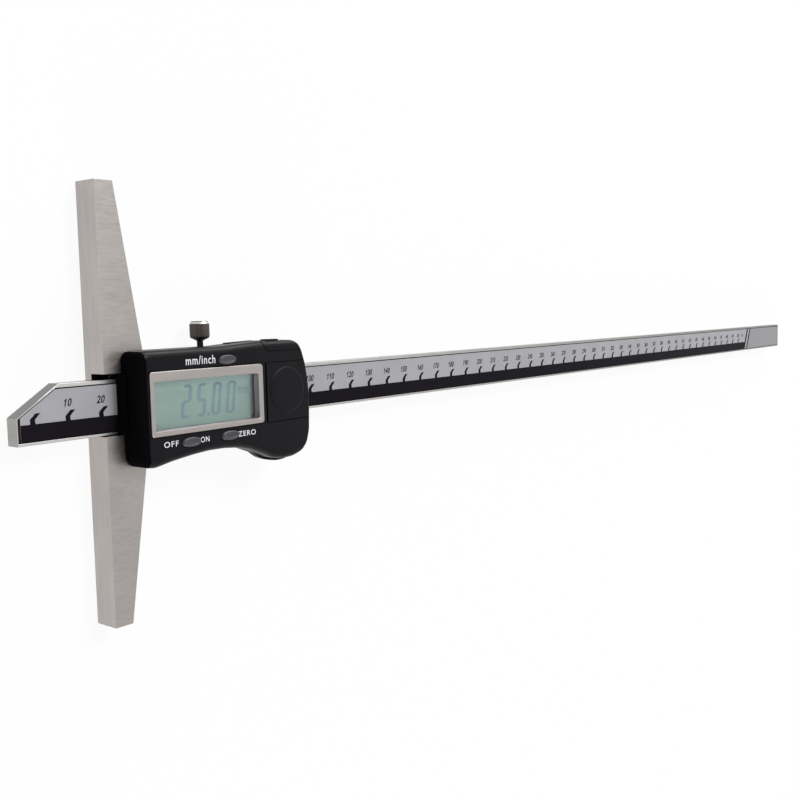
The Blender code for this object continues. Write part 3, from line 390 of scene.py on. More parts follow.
class Finish:
    """One node material, put together step by step on Object coordinates."""

    def __init__(self, name, metallic=0.0, roughness=0.5, specular=0.5):
        self.material = bpy.data.materials.new(name)
        FINISH_NAMES[name] = self.material.name
        self.material.use_nodes = True
        self.tree = self.material.node_tree
        self.shader = self.tree.nodes["Principled BSDF"]
        self.shader.inputs["Metallic"].default_value = metallic
        self.shader.inputs["Roughness"].default_value = roughness
        self.shader.inputs["Specular IOR Level"].default_value = specular
        coordinates = self.node("ShaderNodeTexCoord")
        self.place = coordinates.outputs["Object"]
        self.turned = coordinates.outputs["Normal"]

    def node(self, kind, **values):
        """Add a node; values are its settings."""
        made = self.tree.nodes.new(kind)
        for name, value in values.items():
            setattr(made, name, value)
        return made

    def put(self, value, socket):
        """Give an input its value: an output, a number or a colour."""
        if isinstance(value, bpy.types.NodeSocket):
            self.tree.links.new(value, socket)
        elif isinstance(value, (int, float)):
            socket.default_value = value
        else:
            socket.default_value = (*value, 1)

    def split(self, vector):
        """The three parts of a vector."""
        parts = self.node("ShaderNodeSeparateXYZ")
        self.put(vector, parts.inputs[0])
        return parts.outputs

    def noise(self, *scale, detail=3.0, roughness=0.55):
        """A noise from 0 to 1, at one scale or at one for each axis."""
        mapping = self.node("ShaderNodeMapping")
        mapping.inputs["Scale"].default_value = scale if len(scale) == 3 else scale * 3
        self.put(self.place, mapping.inputs["Vector"])
        made = self.node("ShaderNodeTexNoise")
        made.inputs["Scale"].default_value = 1.0
        made.inputs["Detail"].default_value = detail
        made.inputs["Roughness"].default_value = roughness
        self.put(mapping.outputs["Vector"], made.inputs["Vector"])
        return made.outputs["Fac"]

    def ranged(self, value, low, high, start=0.25, end=0.75):
        """A value from start to end spread from low to high."""
        made = self.node("ShaderNodeMapRange")
        for name, number in (("Value", value), ("From Min", start), ("From Max", end),
                             ("To Min", low), ("To Max", high)):
            self.put(number, made.inputs[name])
        return made.outputs["Result"]

    def math(self, operation, first, second):
        """Two values or numbers put together."""
        made = self.node("ShaderNodeMath", operation=operation)
        self.put(first, made.inputs[0])
        self.put(second, made.inputs[1])
        return made.outputs[0]

    def inside(self, value, low, high):
        """1 where a value lies between two numbers, and 0 elsewhere."""
        return self.math('MULTIPLY', self.math('GREATER_THAN', value, low),
                         self.math('LESS_THAN', value, high))

    def facing(self, axis):
        """How far the surface faces along an axis of the piece, either way, from 0 to 1."""
        size = self.math('ABSOLUTE', self.split(self.turned)[axis], 0.0)
        return self.ranged(size, 0, 1, 0.2, 0.5)

    def weighted(self, first, share, second, rest):
        """The sum of two values, each times its share."""
        return self.math('ADD', self.math('MULTIPLY', first, share),
                         self.math('MULTIPLY', second, rest))

    def blend(self, factor, first, second, kind='MIX'):
        """Two colours mixed by a factor; each may be a colour or an output."""
        made = self.node("ShaderNodeMix", data_type='RGBA', blend_type=kind)
        self.put(factor, made.inputs["Factor"])
        colours = [item for item in made.inputs if item.type == 'RGBA']
        self.put(first, colours[0])
        self.put(second, colours[1])
        return next(item for item in made.outputs if item.type == 'RGBA')

    def tinted(self, base, factor, tone):
        """A colour multiplied by a tone where the factor is 1, and left where it is 0."""
        return self.blend(1.0, base, self.blend(factor, (1, 1, 1), tone), 'MULTIPLY')

    def uneven(self, factor, base, low, high):
        """A colour spread from one share of itself to another."""
        return self.blend(factor, scaled(base, low), scaled(base, high))

    def surface(self, paint, gloss, roughness, height, strength, depth):
        """Set the colour, spread the roughness over a value and raise the surface by another."""
        self.put(paint, self.shader.inputs["Base Color"])
        if gloss is not None:
            self.put(self.ranged(gloss, *roughness), self.shader.inputs["Roughness"])
        if height is not None:
            made = self.node("ShaderNodeBump")
            self.put(strength, made.inputs["Strength"])
            self.put(depth, made.inputs["Distance"])
            self.put(height, made.inputs["Height"])
            self.put(made.outputs["Normal"], self.shader.inputs["Normal"])


def scaled(base, factor):
    """A colour made lighter or darker."""
    return tuple(min(1.0, part * factor) for part in base)


def brushed_finish(name, base, streaks, side_streaks, facing_shades=(1.0, 1.0), roughness=(0.26, 0.40),
                   shade=(0.90, 1.08), far_shade=1.0, depth=0.3):
    """Ground metal: one set of streaks on the faces along Z and another on the rest, over broad
    clouds; faces along X and along Y get painted shade, lighter or darker by which way they face,
    and the lips round the beam's front may get painted shade that grows darker towards its far end."""
    finish = Finish(name, metallic=1.0)
    upward = finish.facing(2)
    lines = finish.weighted(
        finish.noise(*side_streaks, detail=4.0, roughness=0.7),
        finish.math('SUBTRACT', 1.0, upward),
        finish.noise(*streaks, detail=4.0, roughness=0.7), upward)
    both = finish.weighted(lines, 0.6, finish.noise(55), 0.4)
    metal = finish.uneven(finish.ranged(both, 0, 1, 0.35, 0.65), base, *shade)
    # Painted shade: faces along X and along Y are made lighter or darker by which way they face
    for axis, tone in enumerate(facing_shades):
        metal = finish.tinted(metal, finish.facing(axis), (tone,) * 3)
    # Painted shade: the lips round the beam's front darken towards the beam's far end
    if far_shade != 1.0:
        parts = finish.split(finish.place)
        far = finish.math('MULTIPLY',
                          finish.ranged(parts[0], 0, 1, BEAM_LOW.x, BEAM_HIGH.x),
                          finish.math('GREATER_THAN', parts[2], BEAM_HIGH.z - LIP_SHADE_DEPTH))
        metal = finish.tinted(metal, far, (far_shade,) * 3)
    finish.surface(metal, lines, roughness, lines, depth, 0.000004)
    return finish


def plain_metal_finish(name, base, roughness=(0.2, 0.36)):
    """Turned or plated metal with faint blotches."""
    finish = Finish(name, metallic=1.0)
    blotches = finish.noise(900, detail=4.0)
    finish.surface(finish.uneven(blotches, base, 0.82, 1.12), blotches, roughness,
                   blotches, 0.12, 0.00001)


def lock_screw_finish(name, base):
    """Dark plated steel with a painted highlight on the turned chamfer round the top of the head
    and painted shade, nearly black, on the cone under it."""
    finish = Finish(name, metallic=1.0)
    blotches = finish.noise(700, 260, 700, detail=4.0)
    height = finish.split(finish.place)[1]
    # Painted highlight: the chamfer's band is painted near white
    paint = finish.blend(finish.inside(height, *KNOB_HIGHLIGHT_BAND),
                         finish.uneven(blotches, base, 0.75, 1.15), screen(205, 202, 198))
    # Painted shade: the cone under the head is painted nearly black
    paint = finish.blend(finish.math('LESS_THAN', height, KNOB_CONE_SHADE_TOP), paint,
                         scaled(base, 0.18))
    finish.surface(paint, blotches, (0.25, 0.42), blotches, 0.12, 0.00001)


def moulded_finish(name, base, roughness=(0.30, 0.42), specular=0.11, grain=5200.0):
    """Moulded plastic: a fine pebbled grain and slightly uneven gloss."""
    finish = Finish(name, specular=specular)
    clouds = finish.noise(140)
    finish.surface(finish.uneven(clouds, base, 0.8, 1.25), clouds, roughness,
                   finish.noise(grain, detail=2.0), 0.25, 0.00002)


def speckled_finish(name, base, spread, grain, roughness=(0.4, 0.55), specular=0.1):
    """Ink, film or paint with a fine speckle."""
    finish = Finish(name, specular=specular)
    specks = finish.noise(grain, roughness=0.7)
    both = finish.weighted(specks, 0.7, finish.noise(90, detail=2.0), 0.3)
    finish.surface(finish.uneven(finish.ranged(both, 0, 1, 0.32, 0.68), base,
                                 1 - spread, 1 + spread),
                   specks, roughness, specks, 0.1, 0.00001)


def board_finish(name, base):
    """A circuit board: solder mask over copper tracks that run along both axes."""
    finish = Finish(name)
    across = finish.noise(1500, 60, 60, detail=0.0)
    lengthways = finish.noise(60, 1500, 60, detail=0.0)
    track = finish.math('MAXIMUM', finish.math('GREATER_THAN', across, 0.6),
                        finish.math('GREATER_THAN', lengthways, 0.6))
    finish.surface(finish.blend(track, base, scaled(base, 1.7)), across, (0.25, 0.4),
                   track, 0.4, 0.00003)


def lens_finish(name, base):
    """Clear moulded plastic with the faintest ripple."""
    finish = Finish(name, roughness=0.03)
    finish.shader.inputs["Transmission Weight"].default_value = 1.0
    finish.shader.inputs["IOR"].default_value = 1.46
    ripple = finish.noise(200, detail=1.0)
    finish.surface(finish.blend(ripple, scaled(base, 0.97), base), None, None,
                   ripple, 0.02, 0.00002)


def panel_finish(name, base):
    """Liquid crystal glass over a grey-green reflector with a fine grain, with painted light
    towards its upper edge, against the frame's shadow, and a grey band of painted shade along its
    far and lower edges, where the frame's inner wall lies in shade."""
    finish = Finish(name, specular=0.4)
    grain = finish.noise(4000, detail=2.0)
    clouds = finish.noise(70, detail=1.0)
    warm = tuple(part * share for part, share in zip(base, (1.06, 0.98, 1.0)))
    x, y, _ = finish.split(finish.place)
    right = FACE_X + WINDOW_HIGH[0]
    # Painted shade: a grey band along the far and lower edges, where the frame's inner wall lies in
    # shade
    far = finish.ranged(x, 0, 1, right + SHADE_BAND_RIGHT[0], right + SHADE_BAND_RIGHT[1])
    foot = WINDOW_LOW[1]
    under = finish.ranged(y, 1, 0, foot + SHADE_BAND_LOW[0], foot + SHADE_BAND_LOW[1])
    reflector = finish.blend(finish.ranged(clouds, 0, 0.5),
                             finish.uneven(grain, base, 0.96, 1.04), warm)
    # Painted light: the panel grows lighter towards its upper edge, against the frame's shadow
    painted_light = finish.ranged(y, 0, 1, *PAINTED_LIGHT_SPAN)
    reflector = finish.tinted(reflector, painted_light, PAINTED_LIGHT_TONE)
    paint = finish.blend(finish.math('MAXIMUM', far, under), reflector, screen(168, 166, 178))
    finish.surface(paint, grain, (0.25, 0.35), None, None, None)


def paint_hollow_shade(finish, low, high, floor_only=False):
    """Paint shade on a metal inside a box that holds a hollow, near black where the hollow lies in
    shade, or only on the hollow's floor."""
    held = 1.0
    for part, least, most in zip(finish.split(finish.place), low, high):
        held = finish.math('MULTIPLY', held, finish.inside(part, float(least), float(most)))
    if floor_only:
        held = finish.math('MULTIPLY', held, finish.facing(2))
    base = finish.shader.inputs["Base Color"]
    # Painted shade: near-black colour where the hollow lies in shade
    finish.put(finish.blend(held, base.links[0].from_socket, (0.012, 0.012, 0.012)), base)


# Finishes of the CAD nodes that stay
CARRIED_FINISHES = {
    "contact_nickel": ("battery", "battery_contact_bottom", "battery_contact_side",
                       "switch_dome_unit", "switch_dome_power", "switch_dome_zero"),
    "board_solder_mask": ("circuit_board",),
    "grid_strip_brown": ("grid_strip",),
    "chip_epoxy": ("controller_chip", "data_port"),
    "connector_rubber": ("lcd_connector_lower", "lcd_connector_upper"),
    "display_panel": ("lcd_panel",),
    "screw_bright": ("board_screw_1", "board_screw_2", "board_screw_3", "board_screw_4"),
    "lock_screw_dark": ("gib_screw_1", "gib_screw_2"),
}


def make_finishes():
    """Make every finish of the gauge, and give the CAD nodes that stay theirs."""
    _, tone = settings()
    # Painted shade: the bar's and the beam's faces are lighter or darker by which way they face
    bar = brushed_finish("bar_ground", tone.ground_steel, (260, 1500, 260), (900, 60, 900),
                         facing_shades=(1.32, 0.66), roughness=(0.34, 0.42), depth=0.04)
    # Painted shade inside the cross bar's slot for the beam
    paint_hollow_shade(bar, (FACE_X + SLICE, SLOT_LOW + SLICE, BACK_WALL - SLICE),
                (FACE_X + BAR_MID_DEPTH, SLOT_HIGH + SLICE, SLOT_SHADE_TOP))
    blade = brushed_finish("beam_ground", tone.beam_steel, (50, 2600, 2600), (900, 900, 120),
                           facing_shades=(0.67, 0.57), roughness=(0.24, 0.36), far_shade=0.32)
    floor = BEAM_HIGH.z - RECESS_DEPTH
    # Painted shade on the floor of the beam's recess, between its lips and the film
    paint_hollow_shade(blade, (BEAM_LOW.x + LIPS[3] / 2, BEAM_LOW.y + LIPS[0] / 2, floor - SLICE),
                (BEAM_HIGH.x, BEAM_HIGH.y, floor + SLICE), floor_only=True)
    brushed_finish("frame_milled", tone.frame_steel, (90, 1500, 1500), (90, 1500, 1500),
                   roughness=(0.32, 0.48))
    brushed_finish("display_frame_silver", tone.bezel, (90, 4200, 4200), (90, 4200, 4200),
                   roughness=(0.28, 0.38), shade=(0.95, 1.05), depth=0.15)
    plain_metal_finish("screw_bright", tone.screws)
    plain_metal_finish("gib_brass", tone.brass)
    plain_metal_finish("contact_nickel", tone.nickel)
    lock_screw_finish("lock_screw_dark", tone.knob)
    moulded_finish("housing_plastic", tone.plastic)
    # Near-black matt plastic: painted shade on the housing's faces that look towards the measuring
    # face, and the felt wiper's own black
    moulded_finish("matt_black_and_side_shade", screen(9, 8, 10), (0.75, 0.9), specular=0.008)
    # Painted light: light grey on the display opening's wall, lifted against the frame's shadow
    moulded_finish("display_mask_painted_light", tone.mask, (0.6, 0.7))
    moulded_finish("button_rubber", tone.button, (0.3, 0.42), specular=0.3, grain=3800.0)
    moulded_finish("chip_epoxy", (0.02, 0.02, 0.02), specular=0.4, grain=9000.0)
    moulded_finish("connector_rubber", (0.16, 0.16, 0.17), (0.6, 0.75), grain=3000.0)
    speckled_finish("scale_film_silver", tone.film, 0.12, 5200.0)
    speckled_finish("scale_end_silver", scaled(tone.film, 0.76), 0.06, 5200.0)
    speckled_finish("scale_ink_black", tone.ink, 0.18, 3600.0, (0.35, 0.5), specular=0.015)
    speckled_finish("lettering_white", tone.letters, 0.05, 6000.0)
    speckled_finish("display_segments", tone.segments, 0.03, 3000.0)
    speckled_finish("grid_strip_brown", tone.strip, 0.2, 2500.0)
    board_finish("board_solder_mask", tone.board)
    lens_finish("display_lens_clear", tone.lens)
    panel_finish("display_panel", tone.panel)
    for name, nodes in CARRIED_FINISHES.items():
        for node in nodes:
            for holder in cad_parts[node].material_slots:
                holder.material = finish_of(name)


# Cross bar, measured from the measuring face: its depth at the ends and in the middle, half the
# length of the middle, the slot for the beam, and the rebate for the slider frame's tongue
BAR_END_DEPTH = 0.00565
BAR_MID_DEPTH = 0.0128
BAR_SHOULDER = 0.0152
SLOT_LOW = -0.0078
SLOT_HIGH = 0.0090
# How high the painted shade in the slot reaches
SLOT_SHADE_TOP = 0.0083
BACK_WALL = 0.0028
TONGUE_START = 0.0058
TONGUE_HALF = 0.0237
TONGUE_LENGTH = 0.0054

# How far the slider frame's outline lies inside the housing's, at each corner of it
FRAME_INSETS = ([0.0015] + [0.0021] * 4 + [0.0018] + [0.0014] * 6 + [0.0018] + [0.0021] * 4
                + [0.0022, 0.0019, 0.0017, 0.0015, 0.0012, 0.0011, 0.0013, 0.0019]
                + [0.0023, 0.0023, 0.0018, 0.0015])

# How much sooner the gib strip ends than its node
GIB_BACK = 0.0007

# Edge breaks of the slider frame and the beam, as shares of the steel edge break
FRAME_BREAK = 0.6
BEAM_BREAK = 0.3

# Screws, and the radius of the hole that each kind goes into
BASE_SCREWS = ("base_screw_1", "base_screw_2", "base_screw_3", "base_screw_4")
BOARD_SCREWS = ("board_screw_1", "board_screw_2", "board_screw_3", "board_screw_4")
HOUSING_SCREWS = ("housing_screw_1", "housing_screw_2", "housing_screw_3", "housing_screw_4")
GIB_SCREWS = ("gib_screw_1", "gib_screw_2")
STOP_SCREWS = ("end_stop_screw_1", "end_stop_screw_2")
BASE_HOLE = 0.0015
BOARD_HOLE = 0.0010
HOUSING_HOLE = 0.0012
GIB_HOLE = 0.0015
LOCK_HOLE = 0.00125
STOP_HOLE = 0.0011

# Beam: its cut tip along X and Y; the width of its lips on the lower side, the far end, the
# upper side, the slanted tip and the blunt tip; the depth of the recess; and how far down from
# the front the painted shade on the lips reaches
TIP_CUT = (0.0121, 0.0079)
LIPS = (0.0007, 0.0006, 0.0010, 0.00035, 0.0003)
RECESS_DEPTH = 0.0014
LIP_SHADE_DEPTH = 0.0004


def centre(node):
    """The middle of a CAD node's box."""
    low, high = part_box(node)
    return (low + high) / 2


def post(node, radius, low, high, sides=24):
    """A round along Z on a node's axis, between two heights."""
    place = centre(node)
    return lathe([(radius, low), (radius, high)], (place.x, place.y, 0), sides=sides)


def along_y(node, radius, start, end):
    """A round along Y on a node's axis, between two places."""
    place = centre(node)
    return lathe([(radius, start), (radius, end)], (place.x, 0, place.z), sides=32, axis='Y')


def screw_cuts(names, low, top):
    """A seat for the head and a hole for the shank of each cap screw."""
    cuts = []
    for name in names:
        shank, head, height = SCREW_SIZES[name.rsplit("_", 1)[0]]
        cuts += [post(name, head + GAP, -OVERRUN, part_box(name)[0].z + height + SLICE, sides=48),
                 post(name, shank + GAP, low, top, sides=32)]
    return cuts


def beam_outline():
    """The beam's outline with its cut tip, anticlockwise from the lower left corner."""
    run, rise = TIP_CUT
    left, low = BEAM_LOW.x, BEAM_LOW.y
    right, high = BEAM_HIGH.x, BEAM_HIGH.y
    return np.array([(left, low), (right, low), (right, high), (left + run, high),
                     (left, high - rise)])


def make_cross_bar():
    """The ground cross bar with its slot, its rebate and its screw holes."""
    sizes, _ = settings()
    low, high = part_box("base_bar")
    ends, middle = FACE_X + BAR_END_DEPTH, FACE_X + BAR_MID_DEPTH
    outline = [(FACE_X, low.y), (ends, low.y), (middle, -BAR_SHOULDER), (middle, BAR_SHOULDER),
               (ends, high.y), (FACE_X, high.y)]
    bar = add_piece("cross_bar", slab(outline, low.z, high.z))
    far = middle + OVERRUN
    cuts = [block((FACE_X - OVERRUN, SLOT_LOW, BACK_WALL), (far, SLOT_HIGH, high.z + OVERRUN)),
            block((FACE_X + TONGUE_START - GAP, -TONGUE_HALF - GAP, -OVERRUN),
                  (far, TONGUE_HALF + GAP, BACK_WALL + GAP))]
    cuts += [post(name, BASE_HOLE, BACK_WALL - OVERRUN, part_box(name)[1].z + GAP)
             for name in BASE_SCREWS]
    carve(bar, *cuts)
    dress(bar, "slider", "ground_steel", "bar_ground", "base_bar", edge=sizes.steel_break)


def make_end_stop():
    """The stop under the beam's far end: a plate with the seats of its two screws."""
    sizes, _ = settings()
    low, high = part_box("end_stop")
    stop = add_piece("end_stop_milled", block(low, high))
    carve(stop, *screw_cuts(STOP_SCREWS, low.z, high.z + OVERRUN))
    dress(stop, "beam", "frame_steel", "frame_milled", "end_stop", edge=sizes.steel_break)


def make_frame():
    """The slider frame: a tongue in the cross bar's rebate and a body that follows the housing's
    outline, with the channel for the beam, the screws' seats and the taps in its upper rail."""
    sizes, _ = settings()
    low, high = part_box("slider_frame")
    body = add_piece("slider_body", slab(smooth_housing(np.array(FRAME_INSETS)), low.z, high.z))
    tongue = rectangle((low.x, low.y), (FACE_X + TONGUE_START + TONGUE_LENGTH, high.y))
    carve(body, slab(tongue, low.z - SLICE, BACK_WALL + SLICE), operation='UNION')
    far, start = SHELL_HIGH.x + OVERRUN, FACE_X + BAR_MID_DEPTH + GAP
    top = high.z + OVERRUN
    cuts = [block((low.x - OVERRUN, SLOT_LOW, BACK_WALL), (far, SLOT_HIGH, top)),
            block((low.x - OVERRUN, low.y - OVERRUN, BACK_WALL), (start, high.y + OVERRUN, top)),
            block((low.x - OVERRUN, low.y - OVERRUN, -OVERRUN), (far, high.y + OVERRUN, low.z))]
    cuts += screw_cuts(BASE_SCREWS + HOUSING_SCREWS, low.z, top)
    cuts += [post(name, BOARD_HOLE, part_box(name)[0].z - GAP, top) for name in BOARD_SCREWS]
    outside = SHELL_HIGH.y + OVERRUN
    cuts += [along_y(name, GIB_HOLE, SLOT_HIGH - OVERRUN, outside) for name in GIB_SCREWS]
    cuts.append(along_y("lock_screw", LOCK_HOLE, SLOT_HIGH - OVERRUN, outside))
    carve(body, *cuts)
    dress(body, "slider", "frame_steel", "frame_milled", "slider_frame",
          edge=sizes.steel_break * FRAME_BREAK)


def make_gib():
    """The brass gib strip, plain and a little shorter than its node."""
    low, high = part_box("gib_strip")
    gib = add_piece("gib_brass", block(low, (high.x - GIB_BACK, high.y, high.z)))
    dress(gib, "slider", "brass", "gib_brass", "gib_strip")


def make_beam():
    """The beam: a profile with broken edges, bright lips and a recess, carried round the
    beam's outline; the lips differ from side to side."""
    sizes, _ = settings()
    edge = sizes.steel_break * BEAM_BREAK
    lips = np.array(LIPS)
    low, high = BEAM_LOW.z, BEAM_HIGH.z
    outline = beam_outline()
    profile = [(edge, low), (0.0, low + edge), (0.0, high - edge), (edge, high),
               (lips - edge / 2, high), (lips, high - edge / 2), (lips, high - RECESS_DEPTH)]
    beam = add_piece("beam_blade", carried(outline, profile))
    carve(beam, *[post(name, STOP_HOLE, low - OVERRUN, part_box(name)[1].z + GAP)
                  for name in STOP_SCREWS])
    dress(beam, "beam", "beam_steel", "beam_ground", "beam")


# Printed scale, along the beam from the zero line
ZERO_X = FACE_X - 0.021 + 0.0002
TICK = [(-0.02, -2.25), (1.46, -2.25), (1.32, -1.25), (1.44, -0.95), (2.90, 0.54), (1.45, 0.45),
        (0.08, -0.85), (-0.05, -1.15)]
TICK_MIDDLE = 0.45
TICK_STEP = 0.010
TICK_COUNT = 51
STRIP_TOP = -0.0022
LABEL_START = 0.0011
LABEL_MARGINS = (0.00018, 0.00018, 0.00032, 0.00025, 0.00018)
SCALE_END = (0.5103, 0.5165)
END_LINES = ((0.0, 0.0023), (0.0049, 0.0018))
UNIT_PLACE = (0.5062, 0.5089)
UNIT_HEIGHT = 0.75
BAND_RISE = SLICE * 0.1
TICK_RISE = SLICE * 0.05
NUMBER_FOOT = 0.00145
FIGURE_WIDTH = 0.00110
FIGURE_PITCH = 0.00122
FIGURE_LEAN = 0.25
FIGURE_WEIGHT = 0.02
FIGURE_SHIFT = 0.0003
FIGURE_ONE = [(0.40, 0), (0.68, 0), (0.68, 1), (0.50, 1), (0.10, 0.74), (0.10, 0.58),
              (0.40, 0.70)]
MM = 0.001


def label_outline():
    """The film's outline in the recess, cut off square short of the beam's tip."""
    outline = inset(beam_outline(), np.array(LIPS) + LABEL_MARGINS)
    start = BEAM_LOW.x + LABEL_START
    run, rise = TIP_CUT
    shift = start - outline[4, 0]
    outline[4] = (start, outline[4, 1] + shift * rise / run)
    outline[0, 0] = start
    return outline


def word(text, weight=0.0, spacing=1.0):
    """The outline of a word as points and triangles, from Blender's own font, one unit thick;
    weight moves the outlines of its letters outwards and spacing sets them apart."""
    curve = bpy.data.curves.new("word", 'FONT')
    curve.body = text
    curve.offset = weight
    curve.space_character = spacing
    curve.extrude = 0.5
    curve.resolution_u = 4
    text_object = bpy.data.objects.new("word", curve)
    bpy.context.scene.collection.objects.link(text_object)
    bpy.context.view_layer.update()
    seen = text_object.evaluated_get(bpy.context.evaluated_depsgraph_get())
    mesh = bpy.data.meshes.new_from_object(seen)
    bpy.data.objects.remove(text_object)
    shape = bmesh.new()
    shape.from_mesh(mesh)
    bmesh.ops.remove_doubles(shape, verts=shape.verts, dist=1e-5)
    bmesh.ops.triangulate(shape, faces=shape.faces)
    bmesh.ops.recalc_face_normals(shape, faces=shape.faces)
    shape.to_mesh(mesh)
    shape.free()
    points = np.empty(len(mesh.vertices) * 3)
    mesh.vertices.foreach_get("co", points)
    corners = np.empty(len(mesh.polygons) * 3, np.int32)
    mesh.polygons.foreach_get("vertices", corners)
    bpy.data.meshes.remove(mesh)
    return points.reshape(-1, 3), corners.reshape(-1, 3).tolist()


def fitted(shape, low, high):
    """A shape scaled and moved so that it fills the box between two corners."""
    points, faces = shape
    least, most = points.min(axis=0), points.max(axis=0)
    low, high = np.asarray(low), np.asarray(high)
    return low + (points - least) / (most - least) * (high - low), faces


def make_scale_film():
    """The silver film that carries the print."""
    low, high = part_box("scale_label")
    film = add_piece("scale_film", carried(label_outline(), [(0, low.z), (0, high.z)]))
    dress(film, "beam", "scale_film", "scale_film_silver", "scale_label")


def slanted_band(start_low, start_high, width, low, high):
    """A narrow parallelogram across the film, leaning as the end of the scale does."""
    return np.array([(start_low, low), (start_low + width, low), (start_high + width, high),
                     (start_high, high)])


def make_scale_print():
    """The black strip, the lines of the scale and its numbers, as thin ink, and the duller
    field beyond them."""
    sizes, _ = settings()
    outline = label_outline()
    low = LABEL_TOP - sizes.print_height
    high = LABEL_TOP + sizes.print_height
    left, bottom, top = outline[0, 0], outline[0, 1], outline[2, 1]
    end_low, end_high = (ZERO_X + value for value in SCALE_END)
    lean = (end_high - end_low) / (top - bottom)
    strip_end = end_low + lean * (STRIP_TOP - bottom)
    shapes = [slab([(left, bottom), (end_low, bottom), (strip_end, STRIP_TOP),
                    (left, STRIP_TOP)], low, high)]
    for shift, width in END_LINES:
        band = slanted_band(end_low + shift, end_high + shift, width, bottom, top)
        shapes.append(slab(band, low, high + BAND_RISE))
    foot, head = NUMBER_FOOT, NUMBER_FOOT + sizes.number_height * UNIT_HEIGHT
    shapes.append(fitted(word("mm"), (ZERO_X + UNIT_PLACE[0], foot, low),
                         (ZERO_X + UNIT_PLACE[1], head, high)))
    tick = np.array(TICK) * MM - (TICK_MIDDLE * MM, 0)
    starts = ZERO_X + TICK_STEP * np.arange(TICK_COUNT)
    shapes += [slab(tick + (start, 0), low, high + TICK_RISE) for start in starts]
    shapes += scale_numbers(starts, low, high)
    dress(add_piece("scale_print", *shapes), "beam", "scale_film", "scale_ink_black")
    start = sum(END_LINES[1])
    plate = [(end_low + start, bottom), (outline[1, 0], bottom), (outline[1, 0], top),
             (end_high + start, top)]
    dress(add_piece("scale_end", slab(plate, low, high)), "beam", "scale_film",
          "scale_end_silver")


def scale_figure(digit):
    """One figure of the scale, a unit wide, high and thick: Blender's own, or a stroke with a
    flag for the one."""
    if digit == "1":
        return slab(FIGURE_ONE, 0, 1)
    return fitted(word(digit, weight=FIGURE_WEIGHT), (0, 0, 0), (1, 1, 1))


def scale_numbers(starts, low, high):
    """The numbers over the lines: figures at an even pitch, leaning by a share of their
    height."""
    sizes, _ = settings()
    figures = {digit: scale_figure(digit) for digit in "0123456789"}
    stretch = np.array([FIGURE_WIDTH, sizes.number_height, high - low])
    shapes = []
    for number, start in enumerate(starts[1:], 1):
        text = str(number * 10)
        width = (len(text) - 1) * FIGURE_PITCH + FIGURE_WIDTH + FIGURE_LEAN * sizes.number_height
        left = start + FIGURE_SHIFT - width / 2
        for place, digit in enumerate(text):
            points, faces = figures[digit]
            points = points * stretch
            points[:, 0] += points[:, 1] * FIGURE_LEAN + left + place * FIGURE_PITCH
            shapes.append((points + (0, NUMBER_FOOT, low), faces))
    return shapes


# Housing, measured along X from the measuring face: its walls; the faces that look this far
# back along X, up to this distance behind the measuring face, get painted shade, a near-black
# matt copy of the plastic
WALL = 0.0016
FACE_THICKNESS = 0.0016
SIDE_SHADE_LIMIT = -0.2
SIDE_SHADE_END = 0.012

# Display: its frame's spread past the CAD node, its window, their corners, the frame's rounded
# rim and lip, the lens's edge break, and the band of painted shade along the panel's far and
# lower edges and the painted light on its upper part
BEZEL_SPREAD = (0.0002, 0.0003)
WINDOW_LOW = (0.01008, -0.00705)
WINDOW_HIGH = (0.04808, 0.00645)
BEZEL_CORNER = 0.0009
WINDOW_CORNER = 0.0003
BEZEL_RIM = 0.00018
BEZEL_LIP = 0.00010
LENS_BREAK = 0.0001
SHADE_BAND_RIGHT = (-0.0009, 0.0002)
SHADE_BAND_LOW = (-0.0001, 0.00005)
PAINTED_LIGHT_SPAN = (0.0030, 0.0064)
PAINTED_LIGHT_TONE = (1.7, 1.65, 1.75)

# Battery cover, its two hooks on ribs, and the well under it with the opening for the contact
COVER_LOW = (0.0515, -0.0088)
COVER_HIGH_Y = 0.0094
COVER_SKIRT = 0.0044
COVER_WALL = 0.0014
COVER_ROOF = 0.0006
COVER_HOOK = 0.0008
COVER_HOOK_THICKNESS = 0.0010
COVER_HOOK_START = 0.0012
COVER_HOOK_LENGTH = 0.0090
COVER_RIB = 0.0012
WELL_RADIUS = 0.0070
WELL_WALL = 0.0005
CONTACT_HALF = 0.0033
BOARD_ARM_LOW = 0.0088

# Data port cover
PORT_START = 0.0507
PORT_SLANT = 0.0017
PORT_DEPTH = 0.0031
PORT_LEDGE = 0.0016
PORT_RIDGE = (0.0537, 0.0584)
PORT_RIDGE_HEIGHT = 0.0004

# Felt wiper, the back plate's ridge and the shell's bosses
WIPER_START = 0.0042
WIPER_RISE = 0.0010
WIPER_BREAK = 0.0003
RIDGE_START = 0.0420
RIDGE_HEIGHT = 0.0005
BOSS_RADIUS = 0.0020

# Seams of the covers, widened at the surface: how deep, how far short of the housing's edge they
# stop, and how far each reaches out; the battery cover's left one also reaches inwards
SEAM_DEPTH = 0.0006
STRIP_STOP = 0.0009
COVER_SEAM_LEFT = (0.00042, 0.00022)
COVER_SEAM_LOW = 0.00017
COVER_SEAM_HIGH = 0.00015
PORT_SEAM_LEFT = 0.0002
PORT_SEAM_LOW = 0.00015

# Disc on the battery cover: how far each height's radius lies inside its own, and the height as
# a share of the disc's
DISC_RADIUS = 0.0074
DISC_SHIFT = 0.0002
DISC_FOOT = 0.0005
DISC_RIM = [(0.0002, 0.45), (0.0005, 0.85), (0.0009, 1)]

